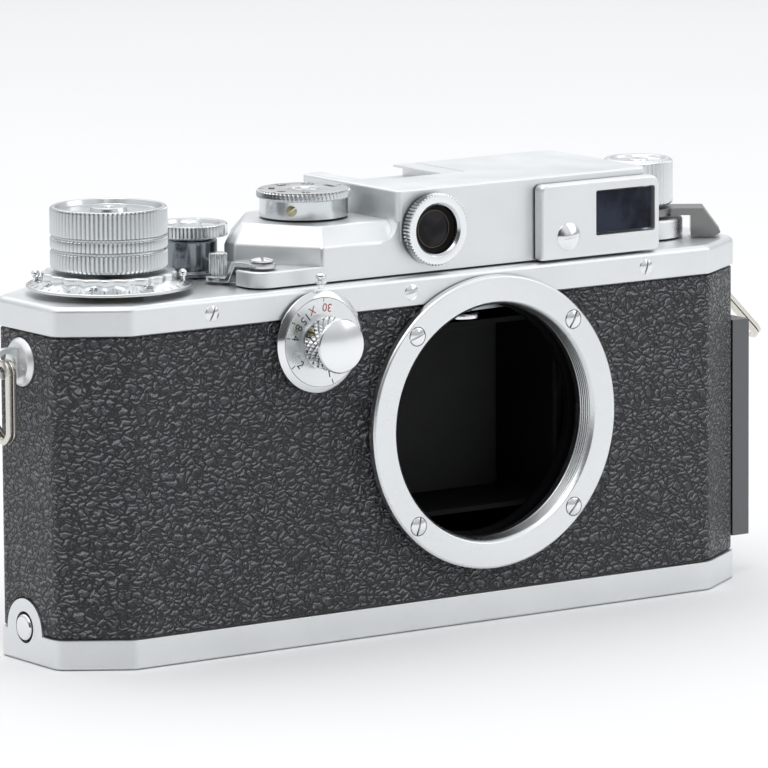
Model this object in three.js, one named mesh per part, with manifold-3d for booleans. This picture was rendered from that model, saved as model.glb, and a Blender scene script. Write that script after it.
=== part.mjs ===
// Rangefinder camera body for 35 mm film, with a screw lens mount and no lens fitted.
// Millimetres, +Z up, +X towards the rewind end, the lens side faces -Y.
// The origin is the centre of the base plate's underside.

import * as THREE from 'three';
import { mergeVertices } from 'three/addons/utils/BufferGeometryUtils.js';
import Module from 'manifold-3d';

const wasm = await Module();
wasm.setup();

// ---------------------------------------------------------------- driving dimensions

const GAP = 0.3;                      // clearance between separate pieces
const BODY = { halfLength: 68.4, halfDepth: 15.5, cornerX: 10.6, cornerY: 7.0 };
const LEVEL = {                       // heights above the base plate's underside
  trayFloor: 1.0, shellFoot: 1.6, trayRim: 4.9, skinBottom: 5.2, skinTop: 53.9,
  skirt: 54.2, shellTop: 56.5, deckUnder: 58.0, deck: 59.0,
  pad: 61.9, pedestalWall: 64.85, pedestal: 68.1, housing: 73.1,
};
const INSET = { skin: 0.3, skinInner: 1.0, tray: 0.8, cover: 1.0, shell: 1.4, shellInner: 2.6, chassis: 3.0 };
const LENS = { x: 12.2, z: 33.6, bore: 19.5, flange: 24.5, neck: 20.8, face: 17.3, seat: 15.8, back: 12.8 };
const MOUNT_SCREW = { circle: 22.3, head: 1.4, shank: 0.7, count: 4, hole: 1.7 };

const WIND = { x: -51.8, y: 0.5, radius: 9.6, bottom: 63.0, top: 73.1 };
const COUNTER = {
  radius: 13.5, bottom: 60.0, top: 61.3, ringRadius: 11.0, ringTop: 62.5, scallops: 20, studs: 11.9,
};
const GEAR = { module: 1.0, windTeeth: 20, drumTeeth: 16, bottom: 55.2, top: 56.4, backlash: 0.4 };
const SPROCKET_AXIS = { x: WIND.x + GEAR.module * GEAR.windTeeth, y: WIND.y };
const DRUM = {
  x: SPROCKET_AXIS.x + GEAR.module * (GEAR.windTeeth + GEAR.drumTeeth) / 2, y: WIND.y,
  radius: 6.4, bottom: 12, top: 50.6,
};
const RELEASE = { x: -31.3, y: 7.8, radius: 4.4, flange: 6.1 };
const DIAL = { radius: 7.8, skirt: 7.3, bottom: 68.4, rim: 71.4, top: 72.8 };
const SLOW = { x: -22.1, z: 50.15, radius: 8.37, knob: 4.48, back: 16.0, face: 17.0, nose: 23.5 };
const REWIND = { x: 54.6, y: 0.5, radius: 6.0, bottom: 64.6, top: 72.5, collar: 7.6 };
const LEVER = { x: -29.3, y: -10.2, length: 8.7, direction: 111, width: 3.2 };
const MAGNIFIER = { direction: -35, tip: 14.0, width: 5.6 };

const HOUSING = { left: -4.8, right: 46.4, front: -13.5, back: 14.5 };
const WINDOW_BLOCK = { left: 22.7, right: 48.4, front: 15.8, back: 13.8, top: 73.2 };
const WINDOW = { left: 33.9, right: 46.0, bottom: 62.7, top: 70.2 };
const RANGE_WINDOW = { x: 2.0, z: 66.35, radius: 6.0, bore: 4.05 };
const EYEPIECE = { x: 39.9, z: 66.4, radius: 5.0, bore: 3.2 };
const SHOE = {
  left: -3.6, right: 18.0, front: 0.2, back: 14.3, bottom: 70.7, top: 73.1,
  seat: 71.2, slotLeft: -3.0, slotRight: 15.6, lip: 1.9, lipThickness: 0.4,
};

const CRATE = { left: -22, right: 40, front: -11.2, back: 11.4, bottom: 6.5, top: 52.7, wall: 1.2 };
const GATE = { width: 36, height: 24 };
const FOLLOWER = { x: 29.0, y: -6.0, rollerX: 12.2, rollerY: -7.2, roller: 3.3 };
const ROLLERS = { x: 35.4, frontY: -1.0, rearY: 5.4, radius: 2.6 };
const SPOOL = { core: 5.0, flange: 11.0, bottom: 14.5, top: 52.6 };
const SPROCKET = { core: 4.6, tread: 6.05, teeth: 8, rows: [19.6, 47.6] };

const LUG = { y: 1.5, z: 49.0, flange: 4.0, eyeX: 71.2, eyeHole: 1.6 };
const CLIP = { side: 14.5, apex: 55, drop: 12.4, wire: 1.1, thickness: 1.6, bend: 1.75, lean: 45 };
const RAIL = { front: -7.6, back: 4.4, bottom: 7.0, top: 44.3, outer: 72.2 };
const EAR = { y: 1.2, halfWidth: 5.2, top: 10.4, holeZ: 5.7, hole: 2.6, stud: 2.15 };
const LOCK = { x: 54.6, y: 0.5, radius: 7.0, keyOuter: 6.2, keyInner: 4.4 };
const TRIPOD = { x: -50, y: 0, radius: 5.0, bore: 2.6, height: 6.0, depth: 5.0 };

const CHASSIS = { bottom: 53.0, top: 54.0 };
const BAFFLE = { halfWidth: 17.9, halfHeight: 16, wall: 0.8, back: -6.6, front: 9.6 };
const CURTAIN = { halfHeight: 16, cloth: 0.3, lath: 0.6, firstFront: 8.3, secondFront: 7.2 };
const BEAM_SPLITTER = { halfWidth: 4, front: 3.5, back: 9.5, bottom: 62.2, top: 70.6 };
const TURRET = { y: -5.2, radius: 4.6, bottom: 62.2, top: 70.8, slot: 2.8, slotBottom: 63.6, slotTop: 69.4 };
const MIRROR = { y: -3.0, halfWidth: 3.6, halfThickness: 0.6, bottom: 62.4, top: 70.4 };
const CATCH_Y = -16.6;
// Cutting tools run past the walls they open: the depths from the middle plane, and the heights.
const FRONT_CUT = { from: 5, to: 20 };
const END_CUT = { from: 60, to: 75 };
const LID_CUT = { from: 50, to: 75 };

// ---------------------------------------------------------------- solids and cuts

function toSolid(geometry) {
  const bare = new THREE.BufferGeometry();
  bare.setAttribute('position', geometry.getAttribute('position').clone());
  if (geometry.index) bare.setIndex(geometry.index.clone());
  const merged = mergeVertices(bare, 1e-4);
  const points = merged.getAttribute('position');
  const corner = [new THREE.Vector3(), new THREE.Vector3(), new THREE.Vector3()];
  const faces = [];
  let volume = 0;
  for (let i = 0; i < merged.index.count; i += 3) {
    const face = [0, 1, 2].map((k) => merged.index.getX(i + k));
    if (new Set(face).size < 3) continue;
    face.forEach((index, k) => corner[k].fromBufferAttribute(points, index));
    volume += corner[0].dot(corner[1].clone().cross(corner[2]));
    faces.push(face);
  }
  const turned = volume < 0 ? faces.map(([a, b, c]) => [a, c, b]) : faces;
  const mesh = new wasm.Mesh({
    numProp: 3,
    vertProperties: new Float32Array(points.array),
    triVerts: new Uint32Array(turned.flat()),
  });
  return new wasm.Manifold(mesh);
}

function toGeometry(solid) {
  const mesh = solid.getMesh();
  const geometry = new THREE.BufferGeometry();
  geometry.setAttribute('position', new THREE.BufferAttribute(mesh.vertProperties, 3));
  geometry.setIndex(new THREE.BufferAttribute(mesh.triVerts, 1));
  geometry.computeVertexNormals();
  return geometry;
}

function cut(base, ...tools) {
  return toGeometry(tools.reduce((solid, tool) => solid.subtract(toSolid(tool)), toSolid(base)));
}

function join(base, ...others) {
  return toGeometry(others.reduce((solid, other) => solid.add(toSolid(other)), toSolid(base)));
}

// ---------------------------------------------------------------- outlines and basic forms

// A closed outline through the corners, each rounded by its own third value or by radius.
function rounded(corners, radius = 0) {
  const path = new THREE.Shape();
  corners.forEach(([x, y, own], i) => {
    const here = new THREE.Vector2(x, y);
    const before = new THREE.Vector2(...corners.at(i - 1)).sub(here).normalize();
    const after = new THREE.Vector2(...corners[(i + 1) % corners.length]).sub(here).normalize();
    const halfAngle = Math.acos(THREE.MathUtils.clamp(before.dot(after), -1, 1)) / 2;
    const size = own ?? radius;
    if (size === 0) {
      if (i === 0) path.moveTo(x, y);
      else path.lineTo(x, y);
      return;
    }
    const start = here.clone().addScaledVector(before, size / Math.tan(halfAngle));
    const end = here.clone().addScaledVector(after, size / Math.tan(halfAngle));
    const middle = before.clone().add(after).normalize();
    const centre = here.clone().addScaledVector(middle, size / Math.sin(halfAngle));
    const from = start.sub(centre).angle();
    const to = end.sub(centre).angle();
    path.absarc(centre.x, centre.y, size, from, to, before.cross(after) > 0);
  });
  path.closePath();
  return path;
}

function corners4(x0, x1, y0, y1) {
  return [[x0, y0], [x1, y0], [x1, y1], [x0, y1]];
}

function rectangle(x0, x1, y0, y1, radius = 0) {
  return rounded(corners4(x0, x1, y0, y1), radius);
}

// Moves every side of an anticlockwise outline inwards by amount.
function insetCorners(corners, amount) {
  return corners.map(([x, y, own], i) => {
    const here = new THREE.Vector2(x, y);
    const along = here.clone().sub(new THREE.Vector2(...corners.at(i - 1))).normalize();
    const onward = new THREE.Vector2(...corners[(i + 1) % corners.length]).sub(here).normalize();
    const share = amount / (1 + along.dot(onward));
    return [x - (along.y + onward.y) * share, y + (along.x + onward.x) * share, own];
  });
}

const BODY_CORNERS = [[1, -1], [1, 1], [-1, 1], [-1, -1]].flatMap(([sideX, sideY]) => {
  const end = [sideX * BODY.halfLength, sideY * (BODY.halfDepth - BODY.cornerY)];
  const face = [sideX * (BODY.halfLength - BODY.cornerX), sideY * BODY.halfDepth];
  return sideX * sideY > 0 ? [end, face] : [face, end];
});

// The camera's long eight-sided plan, drawn in by inset on every side.
function bodyOutline(inset, radius = 2.5) {
  return rounded(insetCorners(BODY_CORNERS, inset), radius);
}

function slab(shape, bottom, top, curveSegments = 1) {
  const options = { depth: top - bottom, bevelEnabled: false, curveSegments };
  return new THREE.ExtrudeGeometry(shape, options).translate(0, 0, bottom);
}

// A closed solid through outlines of equal point count, given as [outline, height] from the bottom up.
function lofted(levels, curveSegments) {
  const rings = levels.map(([outline]) => outline.getPoints(curveSegments).slice(0, -1));
  const count = rings[0].length;
  const position = rings.flatMap((ring, i) => ring.flatMap((point) => [point.x, point.y, levels[i][1]]));
  const index = [];
  for (let i = 0; i + 1 < rings.length; i += 1) {
    for (let k = 0; k < count; k += 1) {
      const a = i * count + k;
      const b = i * count + (k + 1) % count;
      index.push(a, b, b + count, a, b + count, a + count);
    }
  }
  const lid = (rings.length - 1) * count;
  for (const [a, b, c] of THREE.ShapeUtils.triangulateShape(rings[0], [])) index.push(a, c, b);
  for (const [a, b, c] of THREE.ShapeUtils.triangulateShape(rings.at(-1), [])) {
    index.push(lid + a, lid + b, lid + c);
  }
  const geometry = new THREE.BufferGeometry();
  geometry.setAttribute('position', new THREE.Float32BufferAttribute(position, 3));
  geometry.setIndex(index);
  return geometry;
}

// A slab whose upper edge is rounded, or chamfered when steps is 1.
function easedSlab(corners, radius, bottom, top, inward, downward, steps, curveSegments = 1) {
  const levels = [[rounded(corners, radius), bottom]];
  for (let step = 0; step <= steps; step += 1) {
    const turn = step / steps * Math.PI / 2;
    const inset = inward * (1 - Math.cos(turn));
    levels.push([rounded(insetCorners(corners, inset), radius), top - downward + downward * Math.sin(turn)]);
  }
  return lofted(levels, curveSegments);
}

function block(x0, x1, y0, y1, z0, z1) {
  return new THREE.BoxGeometry(x1 - x0, y1 - y0, z1 - z0)
    .translate((x0 + x1) / 2, (y0 + y1) / 2, (z0 + z1) / 2);
}

// A turned piece about Z from its [radius, height] profile, closed on the axis or on itself.
function turned(profile, segments = 24) {
  const points = profile.map(([r, z]) => new THREE.Vector2(r, z));
  return new THREE.LatheGeometry(points, segments).rotateX(Math.PI / 2);
}

function rod(radius, bottom, top, segments = 16) {
  return turned([[0, bottom], [radius, bottom], [radius, top], [0, top]], segments);
}

function tube(inner, outer, bottom, top, segments = 24) {
  return turned([[inner, bottom], [outer, bottom], [outer, top], [inner, top], [inner, bottom]], segments);
}

function rodAt(x, y, radius, bottom, top, segments = 16) {
  return rod(radius, bottom, top, segments).translate(x, y, 0);
}

// Turns a form built upwards so that its top faces the front, the back or an end.
function facingFront(geometry, x, z) {
  return geometry.rotateX(Math.PI / 2).translate(x, 0, z);
}

function facingEnd(geometry, side, y, z) {
  return geometry.rotateY(side * Math.PI / 2).translate(0, y, z);
}

function polar(radius, degrees) {
  const angle = THREE.MathUtils.degToRad(degrees);
  return [radius * Math.cos(angle), radius * Math.sin(angle)];
}

// ---------------------------------------------------------------- materials

function finish(color, roughness, metalness) {
  return new THREE.MeshStandardMaterial({ color, roughness, metalness });
}

const satinChrome = finish(0xc9ced0, 0.35, 1);
const polishedChrome = finish(0xdfe3e5, 0.12, 1);
const nickel = finish(0xb9b19c, 0.25, 1);
const steel = finish(0x8d9194, 0.4, 1);
const brass = finish(0xb08d4a, 0.35, 1);
const blackMetal = finish(0x141414, 0.6, 0.3);
const castAlloy = finish(0x9a9c9c, 0.6, 0.8);
const skinMaterial = finish(0x2f3336, 0.55, 0);
const curtainCloth = finish(0x0d0d0d, 0.9, 0);
const opticalGlass = finish(0x1c2230, 0.05, 0);

// ---------------------------------------------------------------- the assembly's groups

const camera = new THREE.Group();

function axisGroup(x, y) {
  const group = new THREE.Group();
  group.position.set(x, y, 0);
  camera.add(group);
  return group;
}

function frontGroup(x, z) {
  const group = new THREE.Group();
  group.position.set(x, 0, z);
  group.rotation.x = Math.PI / 2;
  camera.add(group);
  return group;
}

function add(parent, name, geometry, material) {
  const mesh = new THREE.Mesh(geometry, material);
  mesh.name = name;
  parent.add(mesh);
  return mesh;
}

// ---------------------------------------------------------------- gear train

function gearOutline(teeth, firstTooth) {
  const pitchRadius = GEAR.module * teeth / 2;
  const tip = pitchRadius + 0.8 * GEAR.module;
  const root = pitchRadius - 1.1 * GEAR.module;
  const step = 2 * Math.PI / teeth;
  const pitchHalf = (Math.PI * GEAR.module / 2 - GEAR.backlash) / 2 / pitchRadius;
  const outline = new THREE.Shape();
  for (let i = 0; i < teeth; i += 1) {
    const centre = firstTooth + i * step;
    const corners = [[root, -1.5], [tip, -0.5], [tip, 0.5], [root, 1.5]];
    for (const [radius, part] of corners) {
      const angle = centre + part * pitchHalf;
      const x = radius * Math.cos(angle);
      const y = radius * Math.sin(angle);
      if (i === 0 && part === -1.5) outline.moveTo(x, y);
      else outline.lineTo(x, y);
    }
  }
  outline.closePath();
  return outline;
}

// Three gears in line: the wind shaft turns the sprocket, and the sprocket turns the curtain drum.
// The sprocket gear has an even tooth count, so a tooth of it faces each neighbour, which shows it a gap.
const windFirst = Math.PI / GEAR.windTeeth;
const sprocketFirst = Math.PI;
const drumFirst = Math.PI + Math.PI / GEAR.drumTeeth;

function gear(teeth, firstTooth) {
  return slab(gearOutline(teeth, firstTooth), GEAR.bottom, GEAR.top);
}

// ---------------------------------------------------------------- body shell and skins

const PAD_NOSE = 3.3;

function lensHole(radius, segments = 36) {
  return facingFront(rod(radius, FRONT_CUT.from, FRONT_CUT.to, segments), LENS.x, LENS.z);
}

function mountScrewHoles(radius) {
  return mountScrewPlaces().map(([x, y]) => {
    const hole = rodAt(x, y, radius, FRONT_CUT.from, FRONT_CUT.to, 8);
    return facingFront(hole, LENS.x, LENS.z);
  });
}

function slowDialHole(radius) {
  return facingFront(rod(radius, FRONT_CUT.from, FRONT_CUT.to), SLOW.x, SLOW.z);
}

function mountScrewPlaces() {
  return Array.from({ length: MOUNT_SCREW.count }, (_, i) => polar(MOUNT_SCREW.circle, 45 + 90 * i));
}

function bodyShell() {
  return cut(
    slab(bodyOutline(INSET.shell), LEVEL.shellFoot, LEVEL.shellTop),
    slab(bodyOutline(INSET.shellInner), LEVEL.shellFoot - 1, LEVEL.shellTop + 1),
    lensHole(LENS.neck + GAP),
    slowDialHole(1.7),
    ...mountScrewHoles(1.0),
  );
}

function leatherSkin() {
  const earHalf = EAR.halfWidth + GAP;
  const earRecess = block(
    -END_CUT.to, -END_CUT.from, EAR.y - earHalf, EAR.y + earHalf, LEVEL.skinBottom - 1, EAR.top + 0.9,
  );
  return cut(
    slab(bodyOutline(INSET.skin), LEVEL.skinBottom, LEVEL.skinTop),
    slab(bodyOutline(INSET.skinInner), LEVEL.skinBottom - 1, LEVEL.skinTop + 1),
    lensHole(LENS.neck + 2 * GAP),
    slowDialHole(5.3),
    ...mountScrewHoles(1.0),
    ...[-1, 1].map((side) => {
      const hole = rod(LUG.flange + GAP, END_CUT.from, END_CUT.to, 20);
      return facingEnd(hole, side, LUG.y, LUG.z);
    }),
    earRecess,
  );
}

function topCover() {
  return cut(
    easedSlab(BODY_CORNERS, 2.5, LEVEL.skirt, LEVEL.deck, 1.3, 1.3, 2),
    slab(bodyOutline(INSET.cover), LEVEL.skirt - 1, LEVEL.deckUnder),
    lensHole(LENS.neck + GAP),
    slowDialHole(5.3),
    rodAt(WIND.x, WIND.y, 3.8, LID_CUT.from, LID_CUT.to, 20),
    rodAt(RELEASE.x, RELEASE.y, 1.4, LID_CUT.from, LID_CUT.to, 12),
    rodAt(REWIND.x, REWIND.y, 2.5, LID_CUT.from, LID_CUT.to, 16),
    slab(rectangle(-24, 44, -10.5, 11.5, 2), LID_CUT.from, LID_CUT.to),
  );
}

// ---------------------------------------------------------------- raised rangefinder cover

const PEDESTAL_CORNERS = [
  [-19.6, HOUSING.front, 0.8], [HOUSING.right, HOUSING.front, 1.5], [HOUSING.right, HOUSING.back, 1.5],
  [-19.0, HOUSING.back, 2.0], [-28.4, 2.2, 1.2], [-28.4, -0.9, 1.2],
];
const PAD_CORNERS = [
  [-32.6, HOUSING.front, PAD_NOSE], [HOUSING.right, HOUSING.front, 1.5], [HOUSING.right, HOUSING.back, 1.5],
  [-19.8, HOUSING.back, 2.0], [-28.9, 2.4, 1.0], [-28.9, -5.9, 0.5], [-32.6, -7.3, 0.5],
];
const CAVITY_CORNERS = [
  [-16.4, -12.0], [HOUSING.right - 1.4, -12.0], [HOUSING.right - 1.4, 13.1],
  [-16.4, 13.1], [-24.0, 2.0], [-24.0, -1.0],
];

function rangefinderCover() {
  const pad = easedSlab(PAD_CORNERS, 1, LEVEL.deck + GAP, LEVEL.pad, 0.3, 0.3, 1, 2);
  const bevelDrop = LEVEL.pedestal - LEVEL.pedestalWall;
  const pedestal = easedSlab(PEDESTAL_CORNERS, 1, LEVEL.pad - 0.5, LEVEL.pedestal, 2.75, bevelDrop, 1);
  const housingPlan = corners4(HOUSING.left, HOUSING.right, HOUSING.front, HOUSING.back);
  const housing = easedSlab(housingPlan, 1, LEVEL.pad - 0.5, LEVEL.housing, 0.9, 0.9, 2);
  const wall = 1.4;
  const housingCavity = rectangle(
    HOUSING.left + wall, HOUSING.right - wall, HOUSING.front + wall + 0.1, HOUSING.back - wall, 0.6,
  );
  return cut(
    join(pad, pedestal, housing),
    slab(rounded(CAVITY_CORNERS, 0.8), LEVEL.deck, LEVEL.pedestal - 1.1),
    slab(housingCavity, LEVEL.deck, LEVEL.housing - 1.2),
    facingFront(rod(4.6, 5, 20, 24), RANGE_WINDOW.x, RANGE_WINDOW.z),
    block(WINDOW.left + 0.4, HOUSING.right - 1.6, -20, -5, WINDOW.bottom + 0.5, WINDOW.top - 0.5),
    facingFront(rod(EYEPIECE.bore + 1.2, -20, -5, 24), EYEPIECE.x, EYEPIECE.z),
    rodAt(DRUM.x, DRUM.y, 1.9, 60, 75, 16),
    rodAt(LEVER.x, LEVER.y, 1.2, 60, 62.5, 12),
    block(SHOE.left - GAP, SHOE.right + GAP, SHOE.front - GAP, HOUSING.back + 1, SHOE.bottom - GAP, SHOE.top + 1),
  );
}

function windowBlock() {
  const corners = [
    [WINDOW_BLOCK.left, LEVEL.deck + GAP, 0.4], [WINDOW_BLOCK.right, LEVEL.deck + GAP, 0.8],
    [WINDOW_BLOCK.right, WINDOW_BLOCK.top, 2.0], [WINDOW_BLOCK.left, WINDOW_BLOCK.top, 1.0],
  ];
  const opening = rectangle(WINDOW.left, WINDOW.right, WINDOW.bottom, WINDOW.top, 0.3);
  const front = easedSlab(corners, 1, WINDOW_BLOCK.back, WINDOW_BLOCK.front, 0.5, 0.5, 2);
  return cut(front, slab(opening, WINDOW_BLOCK.back - 1, WINDOW_BLOCK.front + 1));
}

// A channel sunk in the housing top, open at the back, with its lips level with the top.
function accessoryShoe() {
  const { left, right, bottom, top, seat, slotLeft, slotRight, lip } = SHOE;
  const lipUnder = top - SHOE.lipThickness;
  const section = rounded([
    [left, bottom], [right, bottom], [right, top], [slotRight - lip, top], [slotRight - lip, lipUnder],
    [slotRight, lipUnder], [slotRight, seat], [slotLeft, seat], [slotLeft, lipUnder],
    [slotLeft + lip, lipUnder], [slotLeft + lip, top], [left, top],
  ]);
  return slab(section, -SHOE.back, -SHOE.front);
}

// ---------------------------------------------------------------- finder optics

function rangeWindowRing() {
  const { bore, radius } = RANGE_WINDOW;
  return turned([
    [bore, 12.6], [4.3, 12.6], [4.3, 13.8], [radius, 13.8], [radius, 15.2],
    [radius - 0.3, 15.5], [4.6, 15.5], [bore, 15.1], [bore, 12.6],
  ], 24);
}

function eyepieceRing() {
  const { bore, radius } = EYEPIECE;
  return turned([
    [bore, 12.9], [4.1, 12.9], [4.1, 14.8], [radius, 14.8], [radius, 15.7],
    [radius - 0.4, 16.0], [bore + 0.6, 16.0], [bore, 15.4], [bore, 12.9],
  ], 20);
}

function eyepieceLens() {
  const radius = EYEPIECE.bore - GAP;
  return turned([[0, 13.6], [radius, 13.6], [radius, 14.2], [0, 14.6]], 20);
}

function beamSplitter() {
  const { halfWidth, front, back, bottom, top } = BEAM_SPLITTER;
  return block(-halfWidth, halfWidth, front, back, bottom, top);
}

function magnifierTurret() {
  const { radius, bottom, top, slot, slotBottom, slotTop } = TURRET;
  return cut(rod(radius, bottom, top, 20), block(-2 * radius, 2 * radius, -slot, slot, slotBottom, slotTop));
}

function rangefinderMirror() {
  const { halfWidth, halfThickness, bottom, top } = MIRROR;
  return block(-halfWidth, halfWidth, -halfThickness, halfThickness, bottom, top);
}

// ---------------------------------------------------------------- lens mount

function lensMountRing() {
  const ring = turned([
    [LENS.bore, LENS.back], [LENS.neck, LENS.back], [LENS.neck, LENS.seat], [LENS.flange, LENS.seat],
    [LENS.flange, LENS.face - 0.3], [LENS.flange - 0.3, LENS.face], [LENS.bore + 0.6, LENS.face],
    [LENS.bore, LENS.face - 0.6], [LENS.bore, LENS.back],
  ], 40);
  const holes = mountScrewPlaces().map(([x, y]) => rodAt(x, y, MOUNT_SCREW.hole, 15, 18, 10));
  return cut(ring, ...holes);
}

function mountScrew() {
  return turned([
    [0, 13.4], [MOUNT_SCREW.shank, 13.4], [MOUNT_SCREW.shank, 16.1], [MOUNT_SCREW.head, 16.1],
    [MOUNT_SCREW.head, 17.2], [1.0, 17.5], [0, 17.6],
  ], 8);
}

// ---------------------------------------------------------------- shutter and film path

function shutterCrate() {
  const { left, right, front, back, bottom, top, wall } = CRATE;
  const shaftHoles = [
    rodAt(DRUM.x, DRUM.y, 2.2, 40, 60, 12), rodAt(DRUM.x, DRUM.y, 1.6, 0, 10, 12),
    rodAt(FOLLOWER.x, FOLLOWER.y, 1.6, 40, 60, 12),
  ];
  for (const y of [ROLLERS.frontY, ROLLERS.rearY]) {
    shaftHoles.push(rodAt(ROLLERS.x, y, 1.4, 40, 60, 10), rodAt(ROLLERS.x, y, 1.4, 0, 10, 10));
  }
  const halfWidth = GATE.width / 2;
  const halfHeight = GATE.height / 2;
  const gate = block(LENS.x - halfWidth, LENS.x + halfWidth, 5, 15, LENS.z - halfHeight, LENS.z + halfHeight);
  return cut(
    block(left, right, front, back, bottom, top),
    block(left - 1, right - wall, front + wall, back - 1, bottom + wall, top - 0.7),
    lensHole(19.2, 32),
    gate,
    ...shaftHoles,
  );
}

function lightBaffle() {
  const { halfWidth, halfHeight, wall, back, front } = BAFFLE;
  const plan = rectangle(-halfWidth, halfWidth, -halfHeight, halfHeight, 1.5);
  const inside = rectangle(-halfWidth + wall, halfWidth - wall, -halfHeight + wall, halfHeight - wall, 1);
  return cut(slab(plan, back, front, 2), slab(inside, back - 1, front + 1, 2));
}

function curtain(x0, x1, lath0, lath1, front) {
  const bottom = LENS.z - CURTAIN.halfHeight;
  const top = LENS.z + CURTAIN.halfHeight;
  return join(
    block(x0, x1, front, front + CURTAIN.cloth, bottom, top),
    block(lath0, lath1, front, front + CURTAIN.lath, bottom, top),
  );
}

function chassisPlate() {
  const holes = [
    [WIND, 2.4], [SPROCKET_AXIS, 1.7], [DRUM, 2.2], [REWIND, 2.5], [FOLLOWER, 1.6],
  ].map(([place, radius]) => rodAt(place.x, place.y, radius, LID_CUT.from, LID_CUT.to, 12));
  return cut(slab(bodyOutline(INSET.chassis), CHASSIS.bottom, CHASSIS.top), ...holes);
}

function takeUpSpool() {
  const { core, flange, bottom, top } = SPOOL;
  const profile = [
    [0, bottom], [flange, bottom], [flange, bottom + 1.2], [core, bottom + 1.2], [core, top - 1.2],
    [flange, top - 1.2], [flange, top], [1.9, top], [1.9, top - 5], [0, top - 5],
  ];
  return turned(profile, 20);
}

function filmSprocket() {
  const { core, tread, teeth, rows } = SPROCKET;
  const [low, high] = rows;
  const halfTread = 2.8;
  const body = turned([
    [0, low - halfTread - 4], [1.3, low - halfTread - 4], [1.3, low - halfTread], [tread, low - halfTread],
    [tread, low + halfTread], [core, low + halfTread], [core, high - halfTread], [tread, high - halfTread],
    [tread, high + halfTread], [1.3, high + halfTread], [1.3, GEAR.bottom + 0.1], [0, GEAR.bottom + 0.1],
  ], 16);
  const pegs = [];
  for (const row of rows) {
    for (let i = 0; i < teeth; i += 1) {
      const peg = block(tread - 0.5, tread + 0.8, -0.6, 0.6, row - 0.9, row + 0.9);
      pegs.push(peg.rotateZ(i * 2 * Math.PI / teeth));
    }
  }
  return join(body, ...pegs, gear(GEAR.windTeeth, sprocketFirst));
}

function windShaft() {
  const shaft = turned([
    [0, 48.2], [1.5, 48.2], [1.5, 52.9], [2.0, 52.9], [2.0, 67.6], [0, 67.6],
  ], 14);
  return join(shaft, gear(GEAR.windTeeth, windFirst));
}

function curtainDrum() {
  const body = turned([
    [0, 6.8], [1.2, 6.8], [1.2, DRUM.bottom], [DRUM.radius, DRUM.bottom], [DRUM.radius, DRUM.top],
    [1.8, DRUM.top], [1.8, GEAR.top + 0.4], [1.5, GEAR.top + 0.4], [1.5, 70.4], [0, 70.4],
  ], 20);
  return join(body, gear(GEAR.drumTeeth, drumFirst));
}

function curtainRoller() {
  const { radius } = ROLLERS;
  return turned([
    [0, 6.8], [1.0, 6.8], [1.0, 12], [radius, 12], [radius, 50.6], [1.0, 50.6], [1.0, 52.6], [0, 52.6],
  ], 16);
}

// The swinging arm that feels the lens cam, on an upright shaft into the rangefinder housing.
function followerArm() {
  const reachX = FOLLOWER.rollerX - FOLLOWER.x;
  const reachY = FOLLOWER.rollerY - FOLLOWER.y;
  const bar = block(0, Math.hypot(reachX, reachY), -1.5, 1.5, 51.1, 51.7).rotateZ(Math.atan2(reachY, reachX));
  return join(
    bar, rod(1.9, 51.1, 51.7), rod(1.2, 51.3, 66.5),
    rodAt(reachX, reachY, 1.9, 51.1, 51.7), rodAt(reachX, reachY, 0.7, 49.9, 51.5, 10),
    block(-6, 0, -1, 1, 65.3, 66.5),
  );
}

// ---------------------------------------------------------------- top controls

function windKnob() {
  const { radius, bottom, top } = WIND;
  const groove = 0.35;
  const grooves = [66.2, 68.4].flatMap((z) => [
    [radius, z - 0.3], [radius - groove, z], [radius, z + 0.3],
  ]);
  return turned([
    [0, 67.9], [2.3, 67.9], [2.3, bottom], [radius - 0.5, bottom], [radius, bottom + 0.5], ...grooves,
    [radius, top - 0.5], [radius - 0.5, top], [8.2, top], [7.9, top - 0.8], [2.6, top - 0.8], [2.4, top - 0.1],
    [0, top - 0.1],
  ], 26);
}

function scallopedOutline(radius, depth, count) {
  const outline = new THREE.Shape();
  const stepsPerScallop = 2;
  const steps = count * stepsPerScallop;
  for (let i = 0; i < steps; i += 1) {
    const wave = Math.abs(Math.sin(Math.PI * i / stepsPerScallop));
    const [x, y] = polar(radius - depth * wave, 360 * i / steps);
    if (i === 0) outline.moveTo(x, y);
    else outline.lineTo(x, y);
  }
  outline.closePath();
  return outline;
}

function counterDial() {
  const { radius, bottom, top, ringRadius, ringTop, scallops, studs } = COUNTER;
  const plate = turned([
    [2.5, bottom], [radius, bottom], [radius, bottom + 0.4], [radius - 0.9, top], [2.5, top], [2.5, bottom],
  ], 32);
  const ring = cut(slab(scallopedOutline(ringRadius, 0.5, scallops), top - 0.2, ringTop), rod(2.5, 50, 70));
  const pegs = [-35, 145].flatMap((angle) => {
    const [x, y] = polar(studs, angle);
    return [rodAt(x, y, 0.45, bottom + 0.3, top + 0.9, 8), rodAt(x, y, 0.7, top + 0.6, top + 1.5, 10)];
  });
  return join(plate, ring, ...pegs);
}

function windBush() {
  return turned([
    [2.35, 56.9], [3.4, 56.9], [3.4, 59.3], [5.5, 59.3], [5.5, 59.7], [2.35, 59.7], [2.35, 56.9],
  ], 24);
}

function releaseCollar() {
  const { radius, flange } = RELEASE;
  return turned([
    [2.2, 59.3], [radius + 0.4, 59.3], [radius + 0.4, 59.9], [radius, 60.1], [radius, 65.0], [3.9, 65.3],
    [3.9, 65.7], [flange, 65.9], [flange, 67.8], [4.9, 67.8], [4.7, 67.2], [2.2, 67.2], [2.2, 59.3],
  ], 24);
}

function releaseButton() {
  return turned([[0, 58.7], [1.0, 58.7], [1.0, 61.2], [1.85, 61.2], [1.85, 67.9], [1.4, 68.3], [0, 68.3]], 20);
}

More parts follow.
